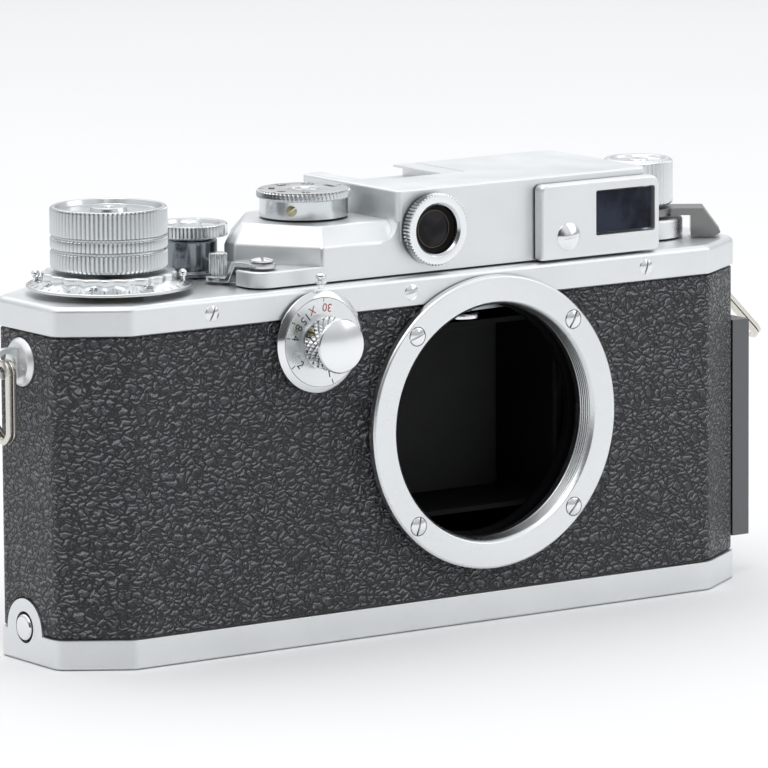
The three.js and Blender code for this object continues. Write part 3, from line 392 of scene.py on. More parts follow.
def loft(name, levels, ring=False):
    """A solid through outlines of equal point count, [(outline, height)]. A ring closes on itself."""
    count = len(levels[0][0])
    points = [(p[0], p[1], z) for outline, z in levels for p in outline]
    faces = walls(len(levels), count, ring)
    if not ring:
        faces.append(tuple(reversed(range(count))))
        faces.append(tuple(range(len(points) - count, len(points))))
    return made(name, points, faces)


def eased(corners, radius, bottom, top, roll, steps, foot=0.0):
    """Levels of a slab whose top edge is a quarter round, and whose bottom edge is chamfered by foot."""
    levels = [(rounded(inset(corners, foot), radius), bottom)]
    if foot:
        levels.append((rounded(corners, radius), bottom + foot))
    for turn in quarter(steps):
        outline = rounded(inset(corners, roll * (1 - cos(turn))), radius)
        levels.append((outline, top - roll * (1 - sin(turn))))
    return levels


def prism(name, outline, bottom, top):
    return loft(name, [(outline, bottom), (outline, top)])


def block(name, x0, x1, y0, y1, z0, z1):
    return prism(name, rectangle(x0, x1, y0, y1), z0, z1)


def eased_profile(profile, radius, steps=3):
    """The profile with each inner corner rounded, and no more than its neighbours leave room for."""
    points = [Vector(profile[0])]
    for i in range(1, len(profile) - 1):
        before, here, after = (Vector(profile[i + k]) for k in (-1, 0, 1))
        room = min((before - here).length, (after - here).length) * 0.45
        size = min(radius, room)
        start = here + (before - here).normalized() * size
        end = here + (after - here).normalized() * size
        for step in range(steps + 1):
            t = step / steps
            points.append(start.lerp(here, t).lerp(here.lerp(end, t), t))
    points.append(Vector(profile[-1]))
    return points


def divided(profile, low, high, count):
    """The profile with its upright stretch between two heights cut into equal parts, for a knurl."""
    points = []
    for a, b in zip(profile, profile[1:]):
        points.append(a)
        upright = abs(a[0] - b[0]) < 1e-4 and min(a[1], b[1]) >= low and max(a[1], b[1]) <= high
        if upright and abs(a[1] - b[1]) > 0.3:
            points += [a.lerp(b, k / count) for k in range(1, count)]
    points.append(profile[-1])
    return points


def lathe(name, profile, wave=None, segments=ROUND):
    """A turned piece about its own Z axis. wave(angle, radius, height) is taken off the radius."""
    points = []
    count = len(profile)
    for angle in steps_round(segments):
        for radius, height in profile:
            if wave and radius > 0:
                radius = max(0.0, radius - wave(angle, radius, height))
            points.append((radius * cos(angle), radius * sin(angle), height))
    faces = []
    for i in range(segments):
        here = i * count
        there = (i + 1) % segments * count
        for k in range(count - 1):
            faces.append((here + k, there + k, there + k + 1, here + k + 1))
    return made(name, points, faces)


def turned(name, profile, radius, steps=3, **options):
    """A turned piece with its corners eased."""
    return lathe(name, eased_profile(profile, radius, steps), **options)


def tri(value):
    """A triangle wave from 0 to 1 with period 1."""
    return 1 - abs(2 * (value % 1) - 1)


def knurl(depth, low, high, least, pattern):
    """A wave for lathe: depth where pattern(turns, height) is 0 and nothing where it is 1.

    It works on the wall between two heights that is outside the least radius.
    """

    def wave(angle, radius, height):
        if low <= height <= high and radius > least:
            return depth * (1 - pattern(angle / (2 * pi), height))
        return 0.0

    return wave


def ribs(count, *limits):
    """Upright ribs."""
    return knurl(*limits, lambda turns, height: tri(turns * count))


def slanted(count, pitch, *limits):
    """Ribs that lean as they rise."""
    return knurl(*limits, lambda turns, height: tri(turns * count + height / pitch))


def diamonds(count, pitch, *limits):
    """Crossed ribs."""

    def pattern(turns, height):
        return min(tri(turns * count + height / pitch), tri(turns * count - height / pitch))

    return knurl(*limits, pattern)


def sweep(name, path, normal, section):
    """A closed flat path swept by a section of (across, along normal) points."""
    points = []
    for i, here in enumerate(path):
        along = (path[(i + 1) % len(path)] - path[i - 1]).normalized()
        across = along.cross(normal)
        points += [here + across * u + normal * v for u, v in section]
    return made(name, points, walls(len(path), len(section), True))


# ---------------- shaping, placing and finishing


def settle(obj):
    """Applies the modifiers to the mesh."""
    bpy.context.view_layer.update()
    graph = bpy.context.evaluated_depsgraph_get()
    mesh = bpy.data.meshes.new_from_object(obj.evaluated_get(graph))
    obj.modifiers.clear()
    obj.data = mesh


def combine(obj, operation, *others):
    for other in others:
        modifier = obj.modifiers.new("combine", "BOOLEAN")
        modifier.operation = operation
        modifier.solver = "EXACT"
        modifier.object = other
    settle(obj)
    for other in others:
        bpy.data.objects.remove(other)


def carve(obj, *cutters):
    combine(obj, "DIFFERENCE", *cutters)


def fuse(obj, *others):
    combine(obj, "UNION", *others)


def bevel(obj, width, segments=3, angle=30):
    modifier = obj.modifiers.new("bevel", "BEVEL")
    modifier.width = width * MM
    modifier.segments = segments
    modifier.limit_method = "ANGLE"
    modifier.angle_limit = radians(angle)
    modifier.use_clamp_overlap = True
    settle(obj)


FACING = {
    "up": Matrix.Identity(4),
    "front": Matrix.Rotation(pi / 2, 4, "X"),
    "back": Matrix.Rotation(-pi / 2, 4, "X"),
    "right": Matrix.Rotation(pi / 2, 4, "Y"),
    "left": Matrix.Rotation(-pi / 2, 4, "Y"),
}


def place(obj, x, y, z, facing="up", turn=0.0):
    """Sets the object's frame at a point, its Z axis towards facing, turned about that axis by degrees."""
    spin = Matrix.Rotation(radians(turn), 4, "Z")
    obj.matrix_world = Matrix.Translation(Vector((x, y, z)) * MM) @ FACING[facing] @ spin
    bpy.context.view_layer.update()
    return obj


def fixed(obj):
    """Moves the object's placing into its mesh."""
    obj.data.transform(obj.matrix_world)
    obj.matrix_world = Matrix.Identity(4)
    return obj


def even_normals(obj):
    """Keeps large flat faces flat next to their rounded edges."""
    modifier = obj.modifiers.new("normals", "WEIGHTED_NORMAL")
    modifier.keep_sharp = True
    settle(obj)


def done(obj, material, body, slot, *nodes, sharp=32):
    """Shades the piece, gives it its material and body, and hides the CAD nodes that it stands for."""
    obj.data.materials.clear()
    obj.data.materials.append(material)
    obj.data.shade_smooth()
    obj.data.set_sharp_from_angle(angle=radians(sharp))
    even_normals(obj)
    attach(obj, body)
    if nodes:
        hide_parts(*nodes)


def fitted(obj, box, facing, material, body, slot, *nodes, **options):
    """Places a turned piece on the axis of a node's box and finishes it."""
    at = (box.mid.x, box.mid.y, 0) if facing == "up" else (box.mid.x, 0, box.mid.z)
    place(obj, *at, facing)
    done(obj, material, body, slot, *nodes, **options)


def engraving(name, marks, ticks, box, facing, material, body):
    """Flat numerals (text, height, frame) and tick marks (width, length, frame) in one mesh."""
    depth = 0.02
    work = bmesh.new()
    for text, height, matrix in marks:
        curve = bpy.data.curves.new(name, "FONT")
        curve.body = text
        curve.size = height * MM
        curve.align_x = "CENTER"
        curve.align_y = "CENTER"
        curve.extrude = depth / 2 * MM
        letter = linked(name, curve)
        bpy.context.view_layer.update()
        graph = bpy.context.evaluated_depsgraph_get()
        mesh = bpy.data.meshes.new_from_object(letter.evaluated_get(graph))
        mesh.transform(metres(matrix))
        work.from_mesh(mesh)
        bpy.data.objects.remove(letter)
    for width, length, matrix in ticks:
        size = Matrix.Diagonal((width * MM, length * MM, depth * MM, 1))
        bmesh.ops.create_cube(work, size=1, matrix=metres(matrix) @ size)
    mesh = bpy.data.meshes.new(name)
    work.to_mesh(mesh)
    work.free()
    fitted(linked(name, mesh), box, facing, material, body, "satin_chrome")


def metres(matrix):
    moved = matrix.copy()
    moved.translation = matrix.translation * MM
    return moved


def around(box, angle, radius):
    """x and y of a point at an angle in degrees round a box's upright axis."""
    turn = radians(angle)
    return box.mid.x + radius * cos(turn), box.mid.y + radius * sin(turn)


def round_mark(angle, radius, height, tilt=0.0):
    """The frame of a mark, its top towards the middle, angle degrees anticlockwise from the dial's top."""
    turn = Matrix.Rotation(radians(angle), 4, "Z")
    lean = Matrix.Rotation(radians(tilt), 4, "X")
    return turn @ Matrix.Translation((0, radius, height)) @ lean @ Matrix.Rotation(pi, 4, "Z")


def slotted_screw(name, radius, rise, at, facing, turn, body, nodes=(), depth=0.8):
    """A slotted screw head. Its rim is flush with at, and its crown stands rise above that."""
    profile = [(0, -depth), (radius, -depth), (radius, 0)]
    for step in range(1, 6):
        share = step / 5
        profile.append((radius * (1 - share), rise * sin(share * pi / 2)))
    head = turned(name, profile, 0.08, segments=64)
    long, wide = radius * 1.2, radius * 0.12
    carve(head, block("slot", -long, long, -wide, wide, rise - 0.45, rise + 1))
    place(head, *at, facing, turn)
    done(head, BRIGHT, body, "polished_chrome", *nodes)


# ---------------- driving sizes from the frame

BODY = "camera_body"
BASE = Box("base_plate")
SKIN = Box("leather_covering")
DECK = Box("top_cover")
RAISED = Box("rangefinder_cover")
RING = Box("lens_mount_ring")
WIND = Box("wind_knob")
COUNTER = Box("counter_dial")
COLLAR = Box("release_collar")
BUTTON = Box("release_button")
DIAL = Box("speed_dial")
SLOW = Box("slow_dial")
SLOW_KNOB = Box("slow_dial_knob")
REWIND = Box("rewind_knob")
REWIND_COLLAR = Box("rewind_collar")
SHOE = Box("accessory_shoe")
BLOCK = Box("finder_window_block")
PANE = Box("finder_front_glass")
RANGE = Box("range_window_ring")
EYE = Box("eyepiece_ring")
RAIL = Box("flash_rail")
STUD = Box("base_stud")
LOCK = Box("lock_disc")
BUSH = Box("tripod_bush")
SCREW_LEVER = Box("lever_screw")

CORNER_X = 10.6
CORNER_Y = 7.0
CORNER_RADIUS = 2.5
HOUSING_LEFT = -4.8
PAD_TOP = 61.9
PEDESTAL_WALL = 64.85
PEDESTAL_TOP = 68.1
SLOW_FACE = 17.0
INK_RISE = 0.01
EAR_HALF = 5.2

# How far the cutters reach along their axes, measured from the middle of the body.
FACE_REACH = (5, 30)
END_REACH = (60, 75)
FLOOR_REACH = (-1, 3)


def body_corners(box):
    """The eight corners of the body's plan, anticlockwise."""
    x, y = box.half.x, box.half.y
    corners = []
    for side_x, side_y in ((1, -1), (1, 1), (-1, 1), (-1, -1)):
        end = (side_x * x, side_y * (y - CORNER_Y))
        face = (side_x * (x - CORNER_X), side_y * y)
        corners += [end, face] if side_x * side_y > 0 else [face, end]
    return corners


PLAN = body_corners(BASE)


def plan(amount):
    return rounded(inset(PLAN, amount), CORNER_RADIUS)


def drill(radius, reach, x, y, z, facing="up", count=64):
    """A round cutter that spans reach along an axis through a point."""
    return fixed(place(prism("hole", circle(radius, count), *reach), x, y, z, facing))


def front_hole(radius, box):
    return drill(radius, FACE_REACH, box.mid.x, 0, box.mid.z, "front", 128)


def lid_hole(radius, box):
    return drill(radius, (50, 80), box.mid.x, box.mid.y, 0)


# ---------------- body, skin and covers


def base_plate():
    """The bottom tray with its hook ear, open for the lock and the tripod bush."""
    rim, floor, wall, roll = 4.9, 1.0, 0.8, 0.5
    levels = [(plan(roll * (1 - sin(turn))), roll * (1 - cos(turn))) for turn in quarter(4)]
    levels += [(plan(0), rim - 0.2), (plan(0.06), rim - 0.06), (plan(0.2), rim)]
    levels += [(plan(wall), rim), (plan(wall), floor)]
    tray = loft("base_tray", levels)
    ear_middle = STUD.mid.y
    top = BASE.high.z
    outline = [(ear_middle + EAR_HALF, floor), (ear_middle - EAR_HALF, floor)]
    for step in range(25):
        turn = pi - pi * step / 24
        outline.append((ear_middle + EAR_HALF * cos(turn), top - EAR_HALF + EAR_HALF * sin(turn)))
    ear = prism("ear", outline, BASE.low.x, BASE.low.x + wall)
    turn_up = Matrix(((0, 0, 1, 0), (1, 0, 0, 0), (0, 1, 0, 0), (0, 0, 0, 1)))
    ear.data.transform(turn_up)
    face_outwards(ear)
    ear_hole = drill(2.6, END_REACH, 0, ear_middle, STUD.mid.z, "left")
    lock_hole = drill(LOCK.half.x + 0.3, FLOOR_REACH, LOCK.mid.x, LOCK.mid.y, 0, count=96)
    bush_hole = drill(5.3, FLOOR_REACH, BUSH.mid.x, BUSH.mid.y, 0)
    fuse(tray, ear)
    carve(tray, ear_hole, lock_hole, bush_hole)
    bevel(tray, 0.12, 2, 50)
    done(tray, SATIN, "base_plate", "satin_chrome", "base_plate")


def skin():
    """The leatherette wrapped round the shell."""
    bottom, top = SKIN.low.z, SKIN.high.z
    outer = BASE.half.x - SKIN.half.x
    edge = 0.15
    inner = outer + 0.7
    levels = [
        (plan(outer + edge), bottom), (plan(outer), bottom + edge), (plan(outer), top - edge),
        (plan(outer + edge), top), (plan(inner), top), (plan(inner), bottom),
    ]
    wrap = loft("leatherette", levels, ring=True)
    ear_half = 5.5
    y, z = STUD.mid.y, BASE.high.z - EAR_HALF
    ear = drill(ear_half, END_REACH, 0, y, z, "left")
    foot = block("hole", -75, -60, y - ear_half, y + ear_half, bottom - 1, z)
    lugs = []
    for side in ("left", "right"):
        box = Box("strap_lug_" + side)
        lugs.append(drill(4.15, END_REACH, 0, box.mid.y, box.mid.z, side))
    carve(wrap, front_hole(21.2, RING), front_hole(5.3, SLOW), ear, foot, *lugs)
    done(wrap, LEATHER, BODY, "leather", "leather_covering")


def deck():
    """The top cover: a skirt round the body and a flat deck with a rolled edge."""
    cover = loft("deck_cover", eased(PLAN, CORNER_RADIUS, DECK.low.z, DECK.high.z, 1.0, 7, foot=0.12))
    wall = 1.0
    hollow = prism("hollow", plan(wall), DECK.low.z - 1, DECK.high.z - wall)
    opening = prism("hole", rounded(rectangle(-24, 44, -10.5, 11.5), 2), 50, 70)
    carve(
        cover, hollow, opening, front_hole(21.1, RING), front_hole(5.3, SLOW),
        lid_hole(3.8, WIND), lid_hole(1.4, BUTTON), lid_hole(2.5, REWIND),
    )
    done(cover, SATIN, BODY, "satin_chrome", "top_cover")


def raised_cover():
    """Pad, bevelled pedestal and rangefinder housing in one pressing."""
    front, back = RAISED.low.y, RAISED.high.y
    left, right = RAISED.low.x, RAISED.high.x
    pad = [
        (left, front, 3.3), (right, front, 1.5), (right, back, 1.5),
        (-19.8, back, 2.0), (-28.9, 2.4, 1.0), (-28.9, -5.9, 0.5), (left, -7.3, 0.5),
    ]
    pedestal = [
        (-19.6, front, 0.9), (right - 1, front, 0.5), (right - 1, back, 0.5),
        (-19.0, back, 2.0), (-28.4, 2.2, 1.2), (-28.4, -0.9, 1.2),
    ]
    housing = [(HOUSING_LEFT, front, 1.0), (right, front, 1.5), (right, back, 1.5), (HOUSING_LEFT, back, 1.0)]
    # The walls stand a hair apart, because a union of faces in one plane leaves holes.
    step = 0.02
    cover = loft("raised_cover", eased(inset(pad, step), 1, RAISED.low.z, PAD_TOP, 0.35, 4))
    slope = [(0, RAISED.low.z + step), (0, PEDESTAL_WALL - 0.3), (0.25, PEDESTAL_WALL + 0.3)]
    slope += [(2.5, PEDESTAL_TOP - 0.3), (2.8, PEDESTAL_TOP - 0.07), (3.3, PEDESTAL_TOP)]
    tower = loft("pedestal", [(rounded(inset(pedestal, amount), 1), height) for amount, height in slope])
    room = loft("housing", eased(inset(housing, step / 2), 1, PAD_TOP - 0.45, RAISED.high.z, 0.4, 5))
    reach = 3.0
    web = [(HOUSING_LEFT + 0.5, PEDESTAL_WALL - 0.2), (HOUSING_LEFT - reach, PEDESTAL_WALL - 0.2)]
    for turn in quarter(10):
        web.append((HOUSING_LEFT - reach * (1 - sin(turn)), PEDESTAL_WALL + reach * (1 - cos(turn))))
    web.append((HOUSING_LEFT + 0.5, PEDESTAL_WALL + reach))
    fillet = prism("fillet", web, -3.6, -2 * step)
    fixed(place(fillet, 0, front, 0, "front"))
    fuse(cover, tower, room, fillet)
    wall = 1.4
    inner = rectangle(HOUSING_LEFT + wall, right - wall, front + 1.5, back - wall)
    hall = prism("hollow", rounded(inner, 0.6), RAISED.low.z - 1, RAISED.high.z - 1.2)
    pit_plan = rectangle(-16.4, 10, front + 4.2, back - wall - 0.3)
    pit = prism("hollow", rounded(pit_plan, 0.8), RAISED.low.z - 1.1, PEDESTAL_TOP - 1.1)
    fuse(hall, pit)
    window = block("hole", PANE.low.x, right - 1.6, -30, -5, PANE.low.z + 0.2, PANE.high.z - 0.2)
    eye = drill(4.4, FACE_REACH, EYE.mid.x, 0, EYE.mid.z, "back")
    edge = 0.25
    sunk = block(
        "hole", SHOE.low.x - edge, SHOE.high.x + edge,
        SHOE.low.y - edge, back + 1, SHOE.low.z - edge, SHOE.high.z + 1,
    )
    carve(cover, hall, window, front_hole(4.6, RANGE), eye, sunk, lid_hole(1.9, DIAL))
    done(cover, SATIN, BODY, "satin_chrome", "rangefinder_cover", sharp=40)


def window_block():
    """The raised plate round the finder window, with its rebated opening and glass."""
    x0, x1, z0, z1 = BLOCK.low.x, BLOCK.high.x, BLOCK.low.z, BLOCK.high.z
    depth = BLOCK.half.y * 2
    margin = 1.3
    corners = [(x0, z0, 0.4), (x1 - margin, z0, 0.8), (x1 - margin, z1 - margin, 1.6), (x0, z1 - margin, 1.0)]
    plate = loft("window_plate", eased(corners, 1, 0, depth, 0.5, 5))
    edge = 0.3
    opening = rectangle(PANE.low.x - edge, PANE.high.x + edge, PANE.low.z - edge, PANE.high.z + edge)
    carve(plate, prism("hole", rounded(opening, 0.35), -1, depth + 1))
    bevel(plate, 0.12, 2, 60)
    place(plate, 0, BLOCK.high.y, 0, "front")
    done(plate, SATIN, BODY, "satin_chrome", "finder_window_block")


def shoe():
    """The accessory shoe: a channel sunk in the housing top, with its lips level with the top."""
    grow = 0.17
    x0, x1, z0, z1 = SHOE.low.x - grow, SHOE.high.x + grow, SHOE.low.z - grow, SHOE.high.z
    slot0, slot1 = SHOE.low.x + 0.6, SHOE.high.x - 2.4
    lip, thick = 1.9, 0.4
    seat = SHOE.low.z + 0.5
    under = z1 - thick
    section = [
        (x0, z0), (x1, z0), (x1, z1), (slot1 - lip, z1), (slot1 - lip, under), (slot1, under),
        (slot1, seat), (slot0, seat), (slot0, under), (slot0 + lip, under), (slot0 + lip, z1), (x0, z1),
    ]
    channel = prism("shoe_channel", section, 0, SHOE.half.y * 2)
    bevel(channel, 0.1, 2)
    place(channel, 0, SHOE.high.y, 0, "front")
    done(channel, SATIN, BODY, "satin_chrome", "accessory_shoe")


# ---------------- lens mount


def mount_ring():
    """The spun flange with its thread bore and four countersunk screws."""
    outer = RING.half.x
    bore = 19.5
    face = -RING.low.y
    back = -RING.high.y
    seat = face - 1.5
    profile = [
        (bore, back), (20.8, back), (20.8, seat), (outer, seat), (outer, face - 0.35), (outer - 0.35, face),
        (bore + 0.7, face), (bore + 0.1, face - 0.7),
    ]
    threads, pitch, depth, crest = 5, 0.55, 0.22, 0.14
    for k in range(threads):
        height = face - 0.7 - (k + 0.5) * pitch
        profile += [(bore + depth, height + crest), (bore, height - crest)]
    ring = turned("mount_flange", profile + [(bore, back)], 0.12, steps=2, segments=240)
    holes = []
    for i in range(4):
        box = Box(f"mount_screw_{i + 1}")
        across, up = box.mid.x - RING.mid.x, box.mid.z - RING.mid.z
        holes.append(drill(1.62, (face - 1.2, face + 1), across, up, 0, count=48))
    carve(ring, *holes)
    fitted(ring, RING, "front", SPUN, BODY, "satin_chrome", "lens_mount_ring", sharp=40)
    for i, turn in enumerate((62, 20, 75, 50)):
        node = f"mount_screw_{i + 1}"
        box = Box(node)
        at = (box.mid.x, -(face + 0.05), box.mid.z)
        slotted_screw(f"flange_screw_{i + 1}", 1.5, 0.25, at, "front", turn, BODY, nodes=(node,), depth=1.1)


def roller():
    """The rangefinder's follower roller at the top of the throat."""
    box = Box("follower_roller")
    radius, low, high = box.half.x, box.low.z, box.high.z
    wheel = turned("cam_roller", [(0, low), (radius, low), (radius, high), (0, high)], 0.2)
    fitted(wheel, box, "up", BRIGHT, "follower_roller", "polished_chrome", "follower_roller")


def range_window():
    """The knurled bezel of the small rangefinder window, with a dark cone behind it."""
    radius, face, back = RANGE.half.x, -RANGE.low.y, -RANGE.high.y
    profile = [
        (4.05, back), (4.3, back), (4.3, face - 1.7), (radius, face - 1.7), (radius, face - 0.1),
        (radius - 0.35, face), (4.5, face), (4.05, face - 0.4), (4.05, back),
    ]
    count = 60
    wave = ribs(count, 0.3, face - 1.75, face + 0.1, radius - 0.25)
    bezel = turned("range_bezel", profile, 0.05, wave=wave, segments=count * 4)
    fitted(bezel, RANGE, "front", KNURLED, BODY, "polished_chrome", "range_window_ring")
    inner = face - 1.55
    section = [(3.95, inner + 0.5), (3.1, inner + 0.1), (3.1, inner), (4.0, inner), (3.95, inner + 0.5)]
    cone = turned("range_cone", section, 0.04)
    fitted(cone, RANGE, "front", BLACK, BODY, "black_metal")
    low, high = inner + 0.02, inner + 0.14
    hoop = turned("range_hoop", [(3.0, low), (3.14, low), (3.14, high), (3.0, high), (3.0, low)], 0.04)
    fitted(hoop, RANGE, "front", BRONZE, BODY, "black_metal")


def eyepiece():
    """The black ribbed ring of the eyepiece, on the back."""
    radius, face, back = EYE.half.x, EYE.high.y, EYE.low.y
    profile = [
        (3.2, back), (4.1, back), (4.1, face - 1.2), (radius, face - 1.2), (radius, face - 0.4),
        (radius - 0.4, face), (3.8, face), (3.2, face - 0.6), (3.2, back),
    ]
    wave = ribs(48, 0.12, face - 1.1, face - 0.3, radius - 0.3)
    ring = turned("eyepiece_bezel", profile, 0.12, wave=wave, segments=288)
    fitted(ring, EYE, "back", BLACK, BODY, "black_metal", "eyepiece_ring")


# ---------------- winding end


def cranked(name, side, ease, steps, half, edge):
    """A bar of one side outline, (reach, height), half to each side of its middle, with rounded edges."""
    bar = prism(name, rounded(side, ease, steps), -half, half)
    bar.data.transform(FACING["front"])
    face_outwards(bar)
    bevel(bar, edge)
    return bar


def winding_knob():
    """The tall ribbed knob: two plain grooves, a raised rim, a sunk top and a centre boss."""
    radius, bottom, top = WIND.half.x, WIND.low.z, WIND.high.z
    lower, upper = bottom + 3.2, bottom + 5.4
    bore = bottom + 4.9
    profile = [(0, bore), (2.3, bore), (2.3, bottom), (radius - 0.5, bottom), (radius, bottom + 0.5)]
    for middle in (lower, upper):
        for side, depth in ((-0.32, 0), (-0.12, 0.4), (0.12, 0.4), (0.32, 0)):
            profile.append((radius - depth, middle + side))
    profile += [
        (radius, top - 0.3), (radius - 0.3, top), (radius - 0.9, top), (radius - 1.2, top - 0.9),
        (3.1, top - 0.9), (2.9, top - 0.15), (1.0, top - 0.15), (0.8, top - 0.5), (0, top - 0.5),
    ]
    count = 76
    wave = ribs(count, 0.32, bottom + 0.2, top - 0.1, radius - 0.25)
    knob = turned("winding_knob", profile, 0.12, wave=wave, segments=count * 4)
    fitted(knob, WIND, "up", KNURLED, "wind_knob", "satin_chrome", "wind_knob")
    at = (*around(WIND, -62, 6.1), top - 0.88)
    slotted_screw("winding_knob_screw", 0.8, 0.1, at, "up", 20, "wind_knob")


def frame_counter():
    """The counter plate with its figures, the scalloped setting ring and two ball-headed pins."""
    radius, bottom = COUNTER.half.x, COUNTER.low.z
    top = bottom + 1.3
    crown = top + 0.35
    ring_radius = 11.0
    ring_top = bottom + 2.5
    brim, edge, shoulder = radius - 0.2, bottom + 0.5, 10.2
    plate = turned("counter_plate", [
        (2.5, bottom), (radius, bottom), (radius, bottom + 0.35), (brim, edge), (shoulder, crown),
        (2.5, crown), (2.5, bottom),
    ], 0.08)
    fitted(plate, COUNTER, "up", KNURLED, "counter_dial", "satin_chrome", "counter_dial")

    def scallops(angle, at_radius, height):
        return 0.55 * sin(10 * angle) ** 2 if at_radius > 9 else 0.0

    foot = top - 0.1
    profile = [
        (2.5, foot), (ring_radius, foot), (ring_radius, ring_top - 0.25),
        (ring_radius - 0.25, ring_top), (2.5, ring_top), (2.5, foot),
    ]
    ring = turned("counter_ring", profile, 0.12, wave=scallops, segments=240)
    fitted(ring, COUNTER, "up", SPUN, "counter_dial", "satin_chrome")
    ball_radius, pin_reach = 0.72, 11.9
    for i, angle in enumerate((-35, 145)):
        pin = [(0, bottom + 0.6), (0.42, bottom + 0.6), (0.42, top + 0.7)]
        for step in range(7):
            turn = radians(-60 + 150 * step / 6)
            across = ball_radius * cos(turn) if step < 6 else 0
            pin.append((across, top + 1.3 - 0.55 + ball_radius * sin(turn)))
        ball = lathe(f"counter_pin_{i + 1}", pin, segments=32)
        place(ball, *around(COUNTER, angle, pin_reach), 0)
        done(ball, BRIGHT, "counter_dial", "polished_chrome")
    fall = (crown - edge) / (brim - shoulder)
    lean = -degrees(atan(fall))
    low_mark, high_mark = radius - 0.65, radius - 1.75
    tick_z = edge + (brim - low_mark) * fall + INK_RISE
    figure_z = edge + (brim - high_mark) * fall + INK_RISE
    marks = [(str(n), 1.5, round_mark(-9 * n, high_mark, figure_z, lean)) for n in range(0, 40, 5)]
    ticks = [(0.12, 0.7, round_mark(-9 * n, low_mark, tick_z, lean)) for n in range(40)]
    engraving("counter_figures", marks, ticks, COUNTER, "up", BLACK_INK, "counter_dial")


def release():
    """The polished collar with its ribbed flange, and the button in its cup."""
    radius = 4.4
    flange = COLLAR.half.x
    low, top = COLLAR.low.z, COLLAR.high.z
    neck = low + 6.5
    collar = turned("release_guard", [
        (2.2, low), (radius + 0.4, low), (radius + 0.4, low + 0.6), (radius, low + 0.8), (radius, low + 5.7),
        (3.9, low + 6.0), (3.9, neck), (2.2, neck), (2.2, low),
    ], 0.12)
    # The collar's polished chrome carries a painted dark reflection in its tint.
    fitted(collar, COLLAR, "up", DARK_REFLECTION_CHROME, BODY, "polished_chrome", "release_collar")
    profile = [
        (2.2, neck), (flange, neck), (flange, top - 0.15), (flange - 0.15, top), (4.9, top), (4.6, top - 0.7),
        (2.2, top - 0.7), (2.2, neck),
    ]
    count = 56
    wave = ribs(count, 0.28, neck - 0.1, top + 0.1, flange - 0.3)
    rim = turned("release_flange", profile, 0.08, wave=wave, segments=count * 4)
    fitted(rim, COLLAR, "up", KNURLED, BODY, "polished_chrome")
    tip, end = BUTTON.high.z, BUTTON.low.z
    knob = turned("shutter_button", [
        (0, end), (1.0, end), (1.0, end + 2.5), (1.85, end + 2.5),
        (1.85, tip - 0.4), (1.4, tip), (0.8, tip), (0.6, tip - 0.6), (0, tip - 0.6),
    ], 0.1)
    fitted(knob, BUTTON, "up", SPUN, "release_button", "satin_chrome", "release_button")


def speed_dial():
    """The upper dial: a leaning knurl on the flange, figures on top and a brass set screw in the skirt."""
    radius, low, top = DIAL.half.x, DIAL.low.z, DIAL.high.z
    skirt = radius - 0.5
    rim = top - 1.4
    profile = eased_profile([
        (0, top - 2), (1.8, top - 2), (1.8, low), (skirt, low), (skirt, rim), (radius, rim + 0.2),
        (radius, top - 0.25), (radius - 0.25, top), (2.6, top), (2.4, top - 0.35), (0, top - 0.35),
    ], 0.1)
    wave = slanted(64, 2.6, 0.38, rim + 0.1, top - 0.02, radius - 0.45)
    dial = lathe("shutter_dial", divided(profile, rim, top, 5), wave, 64 * 6)
    fitted(dial, DIAL, "up", KNURLED, "speed_dial", "satin_chrome", "speed_dial")
    figures = ["30", "60", "100", "200", "500", "1000"]
    angles = [150 - 48 * i for i in range(len(figures))]
    shown = top + INK_RISE
    marks = [(text, 1.5, round_mark(angle, 5.3, shown)) for angle, text in zip(angles, figures)]
    ticks = [(0.14, 0.8, round_mark(angle, 7.0, shown)) for angle in angles]
    engraving("shutter_figures", marks, ticks, DIAL, "up", BLACK_INK, "speed_dial")
    foot, crown = top - 0.5, top - 0.1
    hub = turned("shutter_dial_hub", [(0, foot), (1.3, foot), (1.3, crown), (0, crown)], 0.12)
    fitted(hub, DIAL, "up", BRIGHT, "speed_dial", "polished_chrome")
    angle, size = -140, 0.9
    at = Vector((*around(DIAL, angle, skirt), low + 1.55))
    outward = Matrix.Rotation(radians(angle), 4, "Z") @ FACING["right"] @ Matrix.Rotation(2.2, 4, "Z")
    grub_screw("shutter_dial_screw", size, 1, 0.12, (size * 1.2, 0.13, -0.55), at, outward, "speed_dial")


def grub_screw(name, size, depth, crown, slot, at, outward, body):
    """A brass grub screw whose Z axis points out of the wall. slot is (half length, half width, floor)."""
    profile = [(0, -depth), (size, -depth), (size, 0.05), (0, crown)]
    head = turned(name, profile, 0.05, segments=40)
    long, wide, floor = slot
    carve(head, block("slot", -long, long, -wide, wide, floor, 1))
    head.matrix_world = Matrix.Translation(at * MM) @ outward
    bpy.context.view_layer.update()
    done(head, BRASS, body, "brass")


